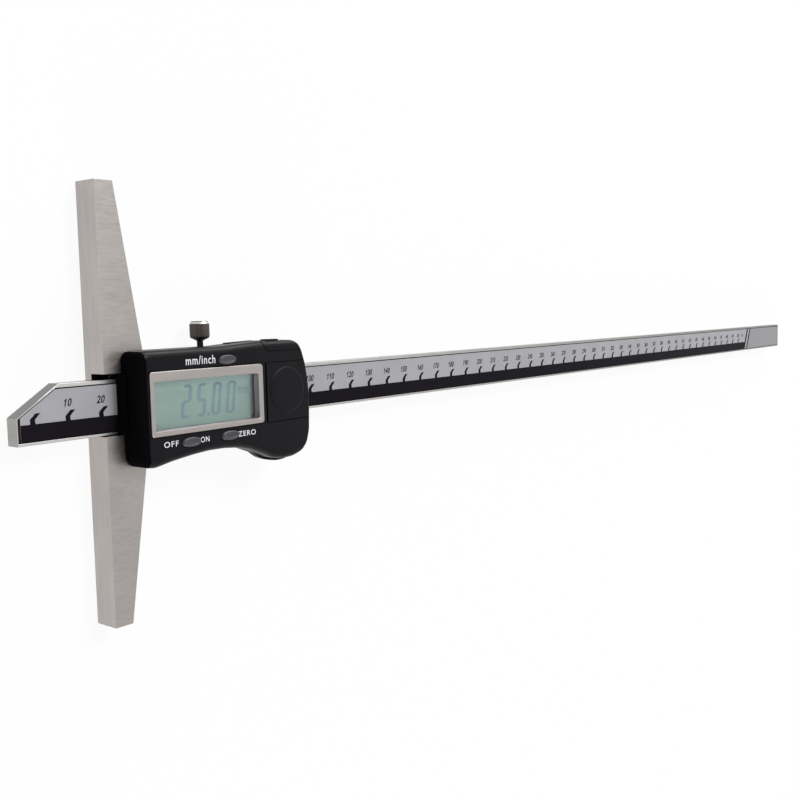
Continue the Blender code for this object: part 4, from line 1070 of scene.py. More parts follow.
# Buttons: their size, how full the ovals are, the gap round them, their stem and their flange;
# the rim, drawn in along X and Y, and below the top; the dish, in shares, and below the top
BUTTONS = ("button_unit", "button_power", "button_zero")
BUTTON_HALF = (0.0033, 0.00142)
BUTTON_FULLNESS = 2.3
BUTTON_GAP = 0.00022
BUTTON_STEM = 0.0010
BUTTON_FLANGE = 0.0006
BUTTON_FLANGE_THICKNESS = 0.0008
BUTTON_RIM = [(0, 0, 0.00060), (0.00006, 0.00005, 0.00034), (0.00022, 0.00018, 0.00012),
              (0.00045, 0.00034, 0.00002), (0.00068, 0.00046, 0), (0.00092, 0.00058, 0.00006)]
BUTTON_DISH = [(0.60, 0.48, 0.00018), (0.28, 0.20, 0.00022)]


def along(distance):
    """A place along X, from its distance behind the measuring face."""
    return FACE_X + distance


def smooth_housing(distance=0.0):
    """The housing's outline, moved in by a distance, with its corners rounded."""
    sizes, _ = settings()
    return softened(housing_points(OUTLINE_SHARES), sizes.corner_spread, distance)


def housing_body(low, high, skin=0.0):
    """The housing's outer form between two heights, with the round at its face, which reaches
    further inwards at some corners than at others; less a skin all over."""
    sizes, _ = settings()
    reach = np.array(FILLET_REACH)
    profile = [(0, low)] + fillet(sizes.face_fillet - skin, high - skin)
    return loft([level(smooth_housing(skin + reach * distance), z) for distance, z in profile])


def cut_seam(piece, *strips):
    """Widen seams at the surface: cut strips into a piece, as deep as the housing's skin."""
    for strip in strips:
        tool = add_piece("strip", slab(strip, SHELL_LOW.z - OVERRUN, FRONT_Z + OVERRUN))
        carve(tool, housing_body(SHELL_LOW.z - 2 * OVERRUN, FRONT_Z, SEAM_DEPTH))
        carve_with(piece, tool)


def right_end(height):
    """Where a strip along X ends, a little short of the housing's right edge."""
    right = housing_points(OUTLINE_SHARES)[RIGHT_CORNERS]
    return float(np.interp(height, right[:, 1], right[:, 0])) - STRIP_STOP


def cover_strips():
    """The strips along the battery cover's three seams."""
    left, low, high = along(COVER_LOW[0]), COVER_LOW[1], COVER_HIGH_Y
    outwards, inwards = COVER_SEAM_LEFT
    return [rectangle((left - outwards, low - SLICE), (left + inwards, high + SLICE)),
            rectangle((left - SLICE, low - COVER_SEAM_LOW), (right_end(low), low + SLICE)),
            rectangle((left - SLICE, high - SLICE), (right_end(high), high + COVER_SEAM_HIGH))]


def port_strips():
    """The strips along the data port cover's two seams."""
    left, low = along(PORT_START), HOUSING_TOP * TOP_SHARE - PORT_DEPTH
    high, corner = HOUSING_TOP + PORT_DEPTH, left + PORT_SLANT
    half = PORT_SEAM_LEFT
    return [np.array([(left - half, HOUSING_TOP), (corner - half, low - SLICE),
                      (corner + half, low - SLICE), (left + half, HOUSING_TOP),
                      (left + half, high), (left - half, high)]),
            rectangle((corner - SLICE, low - PORT_SEAM_LOW), (right_end(low), low + SLICE))]


def inner_body(wall, low, high):
    """The housing's form moved in by a wall, straight-sided."""
    return slab(smooth_housing(wall), low, high)


def port_region(margin):
    """The corner that the data port's cover fills, grown by a margin."""
    left = along(PORT_START) - margin
    low = HOUSING_TOP * TOP_SHARE - PORT_DEPTH - margin
    far = SHELL_HIGH.x + OVERRUN
    high = HOUSING_TOP + PORT_DEPTH
    return [(left, high), (left, HOUSING_TOP), (left + PORT_SLANT, low), (far, low), (far, high)]


def cover_block(margin, low, high):
    """The block that frees the battery cover from the housing, grown by a margin."""
    return block((along(COVER_LOW[0]) - margin, COVER_LOW[1] - margin, low),
                 (SHELL_HIGH.x + OVERRUN, COVER_HIGH_Y + margin, high))


def oval(place, half, sides=64):
    """An oval outline, fuller at its ends than an ellipse: the cosine and the sine of the angle
    are raised to a power below one."""
    angle = np.linspace(0, 2 * math.pi, sides, endpoint=False)
    turn = np.column_stack([np.cos(angle), np.sin(angle)])
    full = np.sign(turn) * np.abs(turn) ** (2 / BUTTON_FULLNESS)
    return np.array((place.x, place.y)) + full * half


def paint_side_shade(piece):
    """Paint shade on the faces at the left end that look towards the measuring face: they get the
    near-black matt copy of the plastic.
    """
    mesh = piece.data
    mesh.materials.append(finish_of("matt_black_and_side_shade"))
    normals = np.empty(len(mesh.polygons) * 3)
    mesh.polygons.foreach_get("normal", normals)
    middles = np.empty(len(mesh.polygons) * 3)
    mesh.polygons.foreach_get("center", middles)
    # Painted shade: these faces get the near-black matt copy of the plastic
    turned = (normals[::3] < SIDE_SHADE_LIMIT) & (middles[::3] < along(SIDE_SHADE_END))
    mesh.polygons.foreach_set("material_index", turned.astype(np.int32))


def make_shell():
    """The front shell: a wall with a filleted face, carried round the housing's outline, then
    hollowed and opened for the display, the buttons and the two covers."""
    sizes, _ = settings()
    low = SHELL_LOW.z
    back = FRONT_Z - FACE_THICKNESS
    shell = add_piece("housing_front", housing_body(low, FRONT_Z))
    hollow = add_piece("hollow", inner_body(WALL, low - OVERRUN, back))
    ledge = port_region(0)[2][1] - GAP - PORT_LEDGE
    carve(hollow, block((along(PORT_START) - GAP - WALL, ledge, 0),
                        (SHELL_HIGH.x + OVERRUN, HOUSING_TOP * 2, FRONT_Z)))
    carve_with(shell, hollow)
    carve(shell, *[post(name, BOSS_RADIUS, low, back + SLICE, sides=32)
                   for name in HOUSING_SCREWS], operation='UNION')
    holes = [post(name, HOUSING_HOLE, low - OVERRUN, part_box(name)[1].z + GAP)
             for name in HOUSING_SCREWS]
    bezel_low, bezel_high = bezel_box()
    seat = round_rectangle(bezel_low - Vector((GAP, GAP, 0)), bezel_high + Vector((GAP, GAP, 0)),
                           BEZEL_CORNER)
    slot = np.array(BUTTON_HALF) + BUTTON_GAP
    lens_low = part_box("lcd_lens")[0].z
    way = COVER_HOOK + GAP
    hook_low = back - COVER_HOOK_THICKNESS - GAP * 3
    skirt_x = SHELL_HIGH.x - WALL * 3
    port_low, port_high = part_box("data_port")
    carve(shell, *holes,
          slab(seat, bezel_low.z - GAP, FRONT_Z + OVERRUN),
          block((along(WINDOW_LOW[0]) - GAP, WINDOW_LOW[1] - GAP, lens_low),
                (along(WINDOW_HIGH[0]) + GAP, WINDOW_HIGH[1] + GAP, FRONT_Z)),
          *[slab(oval(centre(name), slot), lens_low, FRONT_Z + OVERRUN) for name in BUTTONS],
          cover_block(SEAM, back - SLICE, FRONT_Z + OVERRUN),
          block((skirt_x, COVER_LOW[1] - SEAM, FRONT_Z - COVER_SKIRT - GAP),
                (SHELL_HIGH.x + OVERRUN, COVER_HIGH_Y + SEAM, FRONT_Z)),
          block((skirt_x, COVER_LOW[1] - way, hook_low),
                (SHELL_HIGH.x + OVERRUN, COVER_HIGH_Y + way, back)),
          slab(port_region(SEAM), low - OVERRUN, FRONT_Z + OVERRUN),
          block((port_low.x - GAP, port_low.y, low - OVERRUN),
                (port_high.x + GAP, port_high.y + OVERRUN, port_high.z + GAP)))
    cut_seam(shell, *cover_strips(), *port_strips())
    dress(shell, "slider", "black_plastic", "housing_plastic", "housing_shell",
          edge=sizes.plastic_break)
    paint_side_shade(shell)


def make_back():
    """The back plate with its ridge, the thumb rest's rim, the battery well and the board's
    opening."""
    sizes, _ = settings()
    low, high = CHASSIS_LOW.z, SHELL_LOW.z - GAP
    cell = centre("battery")
    well_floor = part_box("battery_contact_bottom")[0].z - GAP
    back = add_piece("housing_back", slab(smooth_housing(), low, high))
    near, far = housing_points([(0.52, 0.998), (0.70, TOP_SHARE)])
    start, end = along(RIDGE_START), along(PORT_START) + PORT_SLANT
    foot = near[1] - WALL
    ridge = [(start, foot), (end, foot), (end, far[1] + RIDGE_HEIGHT / 4),
             (start + RIDGE_HEIGHT / 2, near[1] + RIDGE_HEIGHT), (start, near[1])]
    carve(back, slab(softened(housing_points(THUMB_SHARES), sizes.corner_spread),
                     low + SLICE, high - SLICE),
          slab(ridge, low + SLICE / 2, high - SLICE / 2),
          post("battery", WELL_RADIUS + WELL_WALL, well_floor + SLICE,
               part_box("housing_chassis")[1].z, sides=64), operation='UNION')
    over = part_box("base_bar")[1].z + GAP
    start = along(BAR_MID_DEPTH) + GAP
    board_low, board_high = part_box("circuit_board")
    board_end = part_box("battery_contact_bottom")[0].x - GAP
    carve(back,
          block((along(0), CHASSIS_LOW.y - OVERRUN, low - OVERRUN), (start, SLOT_LOW + GAP, over)),
          block((along(0), SLOT_HIGH - GAP, low - OVERRUN), (start, HOUSING_TOP * 2, over)),
          block((board_low.x - GAP, board_low.y - GAP, 0),
                (board_end + GAP, board_high.y + GAP, FRONT_Z)),
          block((board_end, BOARD_ARM_LOW - GAP, 0),
                (board_high.x + GAP, board_high.y + GAP, FRONT_Z)),
          post("battery", WELL_RADIUS, well_floor, FRONT_Z, sides=64),
          block((board_end, cell.y - CONTACT_HALF, well_floor),
                (cell.x, cell.y + CONTACT_HALF, FRONT_Z)),
          *[post(name, HOUSING_HOLE, 0, FRONT_Z) for name in HOUSING_SCREWS])
    dress(back, "slider", "black_plastic", "housing_plastic", "housing_chassis",
          edge=sizes.plastic_break)
    paint_side_shade(back)


def make_wiper():
    """The felt pad that wipes the scale, in the housing's left wall over the beam: a slab with
    softly rounded edges."""
    low = (along(WIPER_START), SLOT_LOW + GAP, BEAM_HIGH.z + SLICE)
    high = (SHELL_LOW.x, SLOT_HIGH - GAP, SHELL_LOW.z + WIPER_RISE)
    pad = add_piece("scale_wiper", block(low, high))
    dress(pad, "slider", "elastomer", "matt_black_and_side_shade", edge=WIPER_BREAK)


def make_battery_cover():
    """The battery cover with its hooks and its low disc."""
    sizes, _ = settings()
    cell = centre("battery")
    cover = add_piece("battery_lid", housing_body(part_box("battery_cover")[0].z, FRONT_Z))
    carve(cover, cover_block(0, 0, FRONT_Z + OVERRUN), operation='INTERSECT')
    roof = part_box("battery")[1].z + COVER_ROOF
    carve(cover, inner_body(COVER_WALL, 0, roof))
    hook_high = FRONT_Z - FACE_THICKNESS - GAP
    hook_low = hook_high - COVER_HOOK_THICKNESS
    start = along(COVER_LOW[0]) + COVER_HOOK_START
    end = start + COVER_HOOK_LENGTH
    for edge, side in ((COVER_LOW[1] + SLICE, -1), (COVER_HIGH_Y - SLICE, 1)):
        ribs = sorted((edge, edge - side * COVER_RIB))
        hooks = sorted((edge - side * SLICE, edge + side * COVER_HOOK))
        carve(cover, block((start, ribs[0], hook_low - SLICE), (end, ribs[1], roof + SLICE)),
              block((start + SLICE, hooks[0], hook_low), (end - SLICE, hooks[1], hook_high)),
              operation='UNION')
    profile = [(DISC_RADIUS - DISC_FOOT, FRONT_Z - DISC_FOOT), (DISC_RADIUS, FRONT_Z - SLICE)]
    profile += [(DISC_RADIUS - inwards, FRONT_Z + sizes.disc_height * share)
                for inwards, share in DISC_RIM]
    profile.append((DISC_RADIUS / 2, FRONT_Z + sizes.disc_height))
    carve(cover, lathe(profile, (cell.x + DISC_SHIFT, cell.y + DISC_SHIFT, 0), sides=96),
          operation='UNION')
    cut_seam(cover, *cover_strips())
    dress(cover, "battery_cover", "black_plastic", "housing_plastic", "battery_cover",
          edge=sizes.plastic_break)


def make_port_cover():
    """The data port's cover with its ridge."""
    sizes, _ = settings()
    low, top = SHELL_LOW.z, HOUSING_TOP * TOP_SHARE
    port = add_piece("port_lid", housing_body(low, FRONT_Z))
    carve(port, slab(port_region(0), 0, FRONT_Z + OVERRUN), operation='INTERSECT')
    ridge_low, ridge_high = (along(value) for value in PORT_RIDGE)
    carve(port, block((ridge_low, top - PORT_DEPTH / 2, low + FACE_THICKNESS),
                      (ridge_high, top + PORT_RIDGE_HEIGHT, FRONT_Z - FACE_THICKNESS)),
          operation='UNION')
    cut_seam(port, *port_strips())
    dress(port, "port_cover", "black_plastic", "housing_plastic", "port_cover",
          edge=sizes.plastic_break)


def bezel_box():
    """The display frame's lowest and highest corners, a little longer than its CAD node."""
    low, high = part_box("lcd_bezel")
    return low - Vector((BEZEL_SPREAD[0], 0, 0)), high + Vector((BEZEL_SPREAD[1], 0, 0))


def window_outline():
    """The outline of the display frame's window."""
    return round_rectangle((along(WINDOW_LOW[0]), WINDOW_LOW[1]),
                           (along(WINDOW_HIGH[0]), WINDOW_HIGH[1]), WINDOW_CORNER)


def make_bezel():
    """The silver frame: a ring whose section runs from the outer edge to the window."""
    low, high = bezel_box()
    outer, inner = round_rectangle(low, high, BEZEL_CORNER), window_outline()
    loops = [level(outer, low.z), level(outer, high.z - BEZEL_RIM),
             level(inset(outer, BEZEL_RIM * 0.35), high.z - BEZEL_RIM * 0.3),
             level(inset(outer, BEZEL_RIM), high.z), level(inset(inner, -BEZEL_LIP), high.z),
             level(inner, high.z - BEZEL_LIP), level(inner, low.z)]
    bezel = add_piece("display_frame", loft(loops, ring=True))
    dress(bezel, "slider", "silver_plate", "display_frame_silver", "lcd_bezel", angle=50)


def make_lens():
    """The clear lens, and the mask that lines the opening between it and the frame, light grey as
    painted light on the opening's wall.
    """
    low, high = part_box("lcd_lens")
    lens = add_piece("display_lens", carried(rectangle(low, high), [
        (LENS_BREAK, low.z), (0, low.z + LENS_BREAK), (0, high.z - LENS_BREAK),
        (LENS_BREAK, high.z)]))
    dress(lens, "slider", "clear_lens", "display_lens_clear", "lcd_lens")
    foot, top = high.z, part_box("lcd_bezel")[0].z
    inner = window_outline()
    outside = inset(inner, -GAP * 0.8)
    mask = add_piece("display_mask", loft([level(outside, foot), level(outside, top),
                                           level(inner, top), level(inner, foot)], ring=True))
    # Painted light: the mask's light grey stands for light on the opening's wall
    dress(mask, "slider", "black_plastic", "display_mask_painted_light")


# Segments of one digit, in a cell one unit wide and two high: start, end
SEGMENT_ENDS = {"top": ((0, 2), (1, 2)), "middle": ((0, 1), (1, 1)), "foot": ((0, 0), (1, 0)),
                "upper_left": ((0, 2), (0, 1)), "upper_right": ((1, 2), (1, 1)),
                "lower_left": ((0, 1), (0, 0)), "lower_right": ((1, 1), (1, 0))}
DIGIT_SEGMENTS = {
    "2": ("top", "upper_right", "middle", "lower_left", "foot"),
    "5": ("top", "upper_left", "middle", "lower_right", "foot"),
    "0": ("top", "upper_left", "upper_right", "lower_left", "lower_right", "foot")}
READOUT = "2500"
READOUT_START = 0.02186
READOUT_PITCH = 0.0055
DIGIT_WIDTH = 0.0023
SEGMENT_WIDTH = (0.00122, 0.00085)
SEGMENT_GAP = 0.00006
READOUT_LEAN = 0.14
POINT_BACK = 0.0015
POINT_HALF = 0.00045
POINT_RISE = (-0.0004, 0.0005)
UNIT_WEIGHT = 0.03
UNIT_MARK = (0.0424, 0.0006, 0.0462, 0.0026)


def segment(start, end):
    """A long hexagon from one point to another, bluntly pointed at both ends; upright ones are
    wider than level ones."""
    start, end = np.asarray(start, float), np.asarray(end, float)
    way = (end - start) / np.linalg.norm(end - start)
    width = SEGMENT_WIDTH[0] * abs(way[1]) + SEGMENT_WIDTH[1] * abs(way[0])
    side = np.array((-way[1], way[0])) * width / 2
    near, far = start + way * (SEGMENT_GAP - width / 8), end - way * (SEGMENT_GAP - width / 8)
    slant = way * width / 3
    return np.array([near, near + slant - side, far - slant - side, far, far - slant + side,
                     near + slant + side])


def make_readout():
    """The digits on the panel, leaning to the right, with the point and the unit mark."""
    sizes, _ = settings()
    half = (sizes.digit_height - SEGMENT_WIDTH[1]) / 2
    low, high = PANEL_TOP - SLICE * 0.2, PANEL_TOP + sizes.print_height
    outlines = []
    for number, digit in enumerate(READOUT):
        left = READOUT_START + number * READOUT_PITCH
        for name in DIGIT_SEGMENTS[digit]:
            ends = [(left + x * DIGIT_WIDTH, (y - 1) * half) for x, y in SEGMENT_ENDS[name]]
            outlines.append(segment(*ends))
    point = READOUT_START + 2 * READOUT_PITCH - POINT_BACK
    outlines.append(rectangle((point - POINT_HALF, -half + POINT_RISE[0]),
                              (point + POINT_HALF, -half + POINT_RISE[1])))
    unit = fitted(word("mm", UNIT_WEIGHT), (FACE_X + UNIT_MARK[0], UNIT_MARK[1], low),
                  (FACE_X + UNIT_MARK[2], UNIT_MARK[3], high))
    shapes = [unit]
    for outline in outlines:
        leaned = np.column_stack([FACE_X + outline[:, 0] + outline[:, 1] * READOUT_LEAN,
                                  outline[:, 1]])
        shapes.append(slab(leaned, low, high))
    dress(add_piece("display_digits", *shapes), "slider", "lcd_glass", "display_segments")


def make_buttons():
    """The three oval caps: rounded rims round a slightly dished top, on a flange and a stem."""
    half_x, half_y = BUTTON_HALF
    flange_x, flange_y = half_x + BUTTON_FLANGE, half_y + BUTTON_FLANGE
    flange_high = FRONT_Z - FACE_THICKNESS - GAP
    flange_low = flange_high - BUTTON_FLANGE_THICKNESS
    for name in BUTTONS:
        low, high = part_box(name)
        rows = [(BUTTON_STEM, BUTTON_STEM, low.z), (BUTTON_STEM, BUTTON_STEM, flange_low),
                (flange_x, flange_y, flange_low), (flange_x, flange_y, flange_high),
                (half_x, half_y, flange_high)]
        rows += [(half_x - in_x, half_y - in_y, high.z - down) for in_x, in_y, down in BUTTON_RIM]
        rows += [(half_x * share_x, half_y * share_y, high.z - down)
                 for share_x, share_y, down in BUTTON_DISH]
        cap = add_piece(name + "_cap", loft([level(oval(centre(name), (across, upright)), z)
                                             for across, upright, z in rows]))
        dress(cap, name, "button_grey", "button_rubber", name, angle=40)


# Words on the housing: text, low corner and high corner, measured from the measuring face
WORDS = [("mm/inch", (0.0212, 0.01040), (0.0318, 0.01285)),
         ("OFF", (0.0126, -0.0118), (0.0176, -0.0102)),
         ("ON", (0.0254, -0.0118), (0.0285, -0.0102)),
         ("ZERO", (0.0395, -0.0118), (0.0464, -0.0102))]
WORD_WEIGHT = 0.008
WORD_SPACING = 1.15


def make_lettering():
    """The white words beside the buttons."""
    sizes, _ = settings()
    bottom, top = FRONT_Z - sizes.print_height, FRONT_Z + sizes.print_height
    shapes = [fitted(word(text, WORD_WEIGHT, WORD_SPACING), (along(low[0]), low[1], bottom),
                     (along(high[0]), high[1], top)) for text, low, high in WORDS]
    dress(add_piece("housing_words", *shapes), "slider", "button_grey", "lettering_white")


# Lock screw: height along its axis, radius, and how deep the knurl is there; then the heights
# of the two edges of the chamfer's painted highlight and of the top of the cone's painted shade
KNOB_PROFILE = [(0.0090, 0.00065, 0), (0.0093, 0.00093, 0), (0.0165, 0.00093, 0),
                (0.0167, 0.00110, 0), (0.01735, 0.00250, 0), (0.01755, 0.00272, 0.3),
                (0.01785, 0.00286, 0.9), (0.0182, 0.00290, 1), (0.0214, 0.00290, 1),
                (0.02155, 0.00286, 0.8), (0.0217, 0.00276, 0.2), (0.0218, 0.00268, 0),
                (0.02215, 0.00250, 0), (0.02218, 0.00246, 0), (0.02234, 0.00240, 0),
                (0.0224, 0.00232, 0)]
KNOB_HIGHLIGHT_BAND = (0.0217, 0.02216)
KNOB_CONE_SHADE_TOP = 0.01745
KNOB_RIDGES = 28
KNOB_STEPS = 8


def make_lock_screw():
    """The lock screw: a profile turned round Y, its radius dipping between the ridges."""
    sizes, _ = settings()
    low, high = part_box("lock_screw")
    rows = np.array(KNOB_PROFILE)
    depth = rows[:, 2] * sizes.knurl_depth / rows[:, 1]

    def ridges(profile, angle):
        """One less the depth times a bell of the angle, repeated for each ridge."""
        dip = np.sin(angle * KNOB_RIDGES / 2) ** 4
        return 1 - depth[:, None] * dip[None, :]

    profile = rows[:, (1, 0)]
    place = ((low.x + high.x) / 2, 0, (low.z + high.z) / 2)
    knob = add_piece("knurled_screw", lathe(profile, place, sides=KNOB_RIDGES * KNOB_STEPS,
                                            axis='Y', groove=ridges))
    dress(knob, "lock_screw", "dark_steel", "lock_screw_dark", "lock_screw", angle=40)


# Cap screws seen from behind: shank radius, head radius and head height
SCREW_SIZES = {"base_screw": (0.0012, 0.0021, 0.0012), "housing_screw": (0.0009, 0.0016, 0.0012),
               "end_stop_screw": (0.0008, 0.0014, 0.0009)}
SLOT_WIDTH = 0.0005


def make_cap_screws():
    """The screws in the back, each turned and then slotted across its head."""
    for name in BASE_SCREWS + HOUSING_SCREWS + STOP_SCREWS:
        shank, head, height = SCREW_SIZES[name.rsplit("_", 1)[0]]
        low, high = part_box(name)
        place = centre(name)
        edge = height * 0.15
        profile = [(head - edge, low.z), (head, low.z + edge), (head, low.z + height),
                   (shank, low.z + height), (shank, high.z - shank / 2),
                   (shank / 2, high.z)]
        item = add_piece(name + "_turned", lathe(profile, (place.x, place.y, 0), sides=32))
        carve(item, block((place.x - head * 2, place.y - SLOT_WIDTH / 2, low.z - OVERRUN),
                          (place.x + head * 2, place.y + SLOT_WIDTH / 2, low.z + height / 2)))
        body = "beam" if name in STOP_SCREWS else "slider"
        dress(item, body, "screw_steel", "screw_bright", name)


# Stage
FLOOR_SIZE = 6.0
SHADOW_SHARE = 0.08
WORLD_LEVEL = 0.35
LAMPS = [  # name, place, aim, size, power
    ("key_lamp", (1.50, 3.20, 4.60), (-0.1, 0, 0), 2.0, 190.0),
    ("edge_lamp", (1.30, 2.60, 0.72), (-0.2, 0, 0), 1.5, 62.0),
    ("low_lamp", (-0.70, -2.70, 0.75), (-0.2, 0, 0), 1.6, 62.0)]


def white_to_the_eye(tree, lit, kind):
    """Mix a lit shader with plain white, for rays that show the background."""
    path = tree.nodes.new("ShaderNodeLightPath")
    shown = path.outputs["Is Camera Ray"]
    for ray in ("Is Glossy Ray", "Is Transmission Ray"):
        either = tree.nodes.new("ShaderNodeMath")
        either.operation = 'MAXIMUM'
        tree.links.new(shown, either.inputs[0])
        tree.links.new(path.outputs[ray], either.inputs[1])
        shown = either.outputs[0]
    share = tree.nodes.new("ShaderNodeMath")
    share.operation = 'MULTIPLY'
    share.inputs[1].default_value = 1.0 if kind == "ShaderNodeBackground" else 1 - SHADOW_SHARE
    tree.links.new(shown, share.inputs[0])
    white = tree.nodes.new(kind)
    white.inputs["Color"].default_value = (1, 1, 1, 1)
    white.inputs["Strength"].default_value = 1.0
    mix = tree.nodes.new("ShaderNodeMixShader")
    tree.links.new(share.outputs[0], mix.inputs[0])
    tree.links.new(lit, mix.inputs[1])
    tree.links.new(white.outputs[0], mix.inputs[2])
    return mix.outputs[0]


def make_floor():
    """A white floor that keeps a soft shadow."""
    half = FLOOR_SIZE / 2
    points = level(rectangle((-half, -half), (half, half)), -SLICE)
    floor = add_piece("floor", (points, [[0, 1, 2, 3]]))
    material = bpy.data.materials.new("floor_white")
    material.use_nodes = True
    tree = material.node_tree
    tree.nodes.clear()
    lit = tree.nodes.new("ShaderNodeBsdfDiffuse")
    lit.inputs["Color"].default_value = (0.9, 0.9, 0.9, 1)
    output = tree.nodes.new("ShaderNodeOutputMaterial")
    tree.links.new(white_to_the_eye(tree, lit.outputs[0], "ShaderNodeEmission"),
                   output.inputs["Surface"])
    floor.data.materials.append(material)


def make_light():
    """The world and the lamps."""
    world = bpy.data.worlds.new("studio")
    world.use_nodes = True
    tree = world.node_tree
    tree.nodes.clear()
    lit = tree.nodes.new("ShaderNodeBackground")
    lit.inputs["Color"].default_value = (1, 1, 1, 1)
    lit.inputs["Strength"].default_value = WORLD_LEVEL
    output = tree.nodes.new("ShaderNodeOutputWorld")
    tree.links.new(white_to_the_eye(tree, lit.outputs[0], "ShaderNodeBackground"),
                   output.inputs["Surface"])
    bpy.context.scene.world = world
    for name, place, aim, size, power in LAMPS:
        light = bpy.data.lights.new(name, 'AREA')
        light.size = size
        light.energy = power
        lamp = bpy.data.objects.new(name, light)
        lamp.location = place
        lamp.rotation_euler = (Vector(aim) - Vector(place)).to_track_quat('-Z', 'Y').to_euler()
        bpy.context.scene.collection.objects.link(lamp)


def make_camera():
    """The camera at the photograph's viewing angle."""
    data = bpy.data.cameras.new("camera")
    data.sensor_width = 36
    data.lens = CAMERA_LENS
    data.shift_x, data.shift_y = CAMERA_SHIFT
    data.clip_start = 0.01
    camera = bpy.data.objects.new("camera", data)
    turn = Vector(CAMERA_TURN)
    rotation = Matrix.Rotation(turn.length, 3, turn.normalized()).transposed()
    camera.matrix_world = Matrix.Translation(CAMERA_PLACE) @ rotation.to_4x4()
    bpy.context.scene.collection.objects.link(camera)
    bpy.context.scene.camera = camera


# Operators


class DEPTHGAUGE_OT_finishes(bpy.types.Operator):
    """Make the finishes and put them on the CAD nodes that stay"""
    bl_idname = "depth_gauge.finishes"
    bl_label = "Finishes"
    bl_options = {'REGISTER', 'UNDO'}

    def execute(self, context):
        make_finishes()
        return {'FINISHED'}


class DEPTHGAUGE_OT_cross_bar(bpy.types.Operator):
    """Make the ground cross bar"""
    bl_idname = "depth_gauge.cross_bar"
    bl_label = "Cross bar"
    bl_options = {'REGISTER', 'UNDO'}

    def execute(self, context):
        make_cross_bar()
        return {'FINISHED'}


class DEPTHGAUGE_OT_frame(bpy.types.Operator):
    """Make the slider frame, the gib strip and the end stop"""
    bl_idname = "depth_gauge.frame"
    bl_label = "Slider frame, gib and end stop"
    bl_options = {'REGISTER', 'UNDO'}

    def execute(self, context):
        make_frame()
        make_gib()
        make_end_stop()
        return {'FINISHED'}


class DEPTHGAUGE_OT_beam(bpy.types.Operator):
    """Make the beam"""
    bl_idname = "depth_gauge.beam"
    bl_label = "Beam"
    bl_options = {'REGISTER', 'UNDO'}

    def execute(self, context):
        make_beam()
        return {'FINISHED'}


class DEPTHGAUGE_OT_scale(bpy.types.Operator):
    """Make the scale's film and print"""
    bl_idname = "depth_gauge.scale"
    bl_label = "Printed scale"
    bl_options = {'REGISTER', 'UNDO'}

    def execute(self, context):
        make_scale_film()
        make_scale_print()
        return {'FINISHED'}


class DEPTHGAUGE_OT_housing(bpy.types.Operator):
    """Make the housing's front shell, back plate and wiper"""
    bl_idname = "depth_gauge.housing"
    bl_label = "Housing"
    bl_options = {'REGISTER', 'UNDO'}

    def execute(self, context):
        make_shell()
        make_back()
        make_wiper()
        return {'FINISHED'}


class DEPTHGAUGE_OT_covers(bpy.types.Operator):
    """Make the battery cover and the data port's cover"""
    bl_idname = "depth_gauge.covers"
    bl_label = "Covers"
    bl_options = {'REGISTER', 'UNDO'}

    def execute(self, context):
        make_battery_cover()
        make_port_cover()
        return {'FINISHED'}


class DEPTHGAUGE_OT_display(bpy.types.Operator):
    """Make the display's frame, lens, mask and digits"""
    bl_idname = "depth_gauge.display"
    bl_label = "Display"
    bl_options = {'REGISTER', 'UNDO'}

    def execute(self, context):
        make_bezel()
        make_lens()
        make_readout()
        return {'FINISHED'}


class DEPTHGAUGE_OT_buttons(bpy.types.Operator):
    """Make the buttons and the words beside them"""
    bl_idname = "depth_gauge.buttons"
    bl_label = "Buttons and words"
    bl_options = {'REGISTER', 'UNDO'}

    def execute(self, context):
        make_buttons()
        make_lettering()
        return {'FINISHED'}


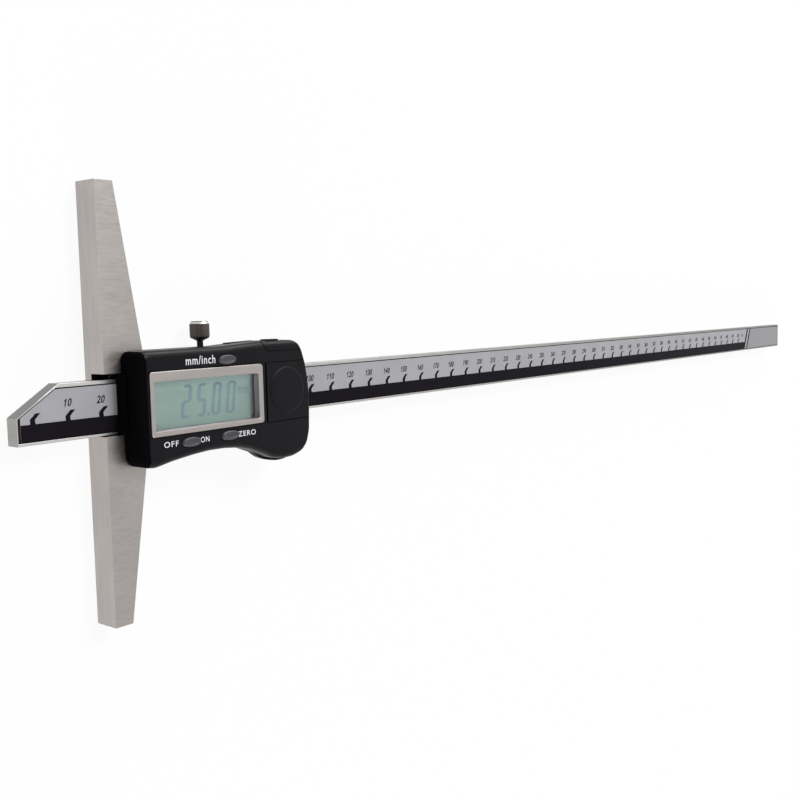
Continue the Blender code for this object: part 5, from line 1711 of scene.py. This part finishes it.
class DEPTHGAUGE_OT_screws(bpy.types.Operator):
    """Make the lock screw and the cap screws"""
    bl_idname = "depth_gauge.screws"
    bl_label = "Screws"
    bl_options = {'REGISTER', 'UNDO'}

    def execute(self, context):
        make_lock_screw()
        make_cap_screws()
        return {'FINISHED'}


class DEPTHGAUGE_OT_stage(bpy.types.Operator):
    """Make the floor, the light and the camera"""
    bl_idname = "depth_gauge.stage"
    bl_label = "Stage"
    bl_options = {'REGISTER', 'UNDO'}

    def execute(self, context):
        make_floor()
        make_light()
        make_camera()
        return {'FINISHED'}


OPERATORS = (DEPTHGAUGE_OT_finishes, DEPTHGAUGE_OT_cross_bar, DEPTHGAUGE_OT_frame,
             DEPTHGAUGE_OT_beam, DEPTHGAUGE_OT_scale, DEPTHGAUGE_OT_housing, DEPTHGAUGE_OT_covers,
             DEPTHGAUGE_OT_display, DEPTHGAUGE_OT_buttons, DEPTHGAUGE_OT_screws,
             DEPTHGAUGE_OT_stage)


class DEPTHGAUGE_PT_panel(bpy.types.Panel):
    """The gauge's operators, sizes and colours"""
    bl_idname = "DEPTHGAUGE_PT_panel"
    bl_label = "Depth gauge"
    bl_space_type = 'VIEW_3D'
    bl_region_type = 'UI'
    bl_category = "Depth gauge"

    def draw(self, context):
        for operator in OPERATORS:
            self.layout.operator(operator.bl_idname)
        for group in (context.scene.gauge_sizes, context.scene.gauge_colours):
            box = self.layout.box()
            for name in group.__annotations__:
                box.prop(group, name)


CLASSES = (GaugeSizes, GaugeColours, *OPERATORS, DEPTHGAUGE_PT_panel)


def register():
    """Add the classes and the settings that the scene holds."""
    for item in CLASSES:
        bpy.utils.register_class(item)
    bpy.types.Scene.gauge_sizes = bpy.props.PointerProperty(type=GaugeSizes)
    bpy.types.Scene.gauge_colours = bpy.props.PointerProperty(type=GaugeColours)


def unregister():
    """Take the classes and the settings away again."""
    del bpy.types.Scene.gauge_colours
    del bpy.types.Scene.gauge_sizes
    for item in reversed(CLASSES):
        bpy.utils.unregister_class(item)


def main():
    """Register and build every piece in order."""
    register()
    bpy.context.scene.view_settings.view_transform = 'Standard'
    for operator in OPERATORS:
        group, name = operator.bl_idname.split(".")
        getattr(getattr(bpy.ops, group), name)()


if __name__ == "__main__":
    main()
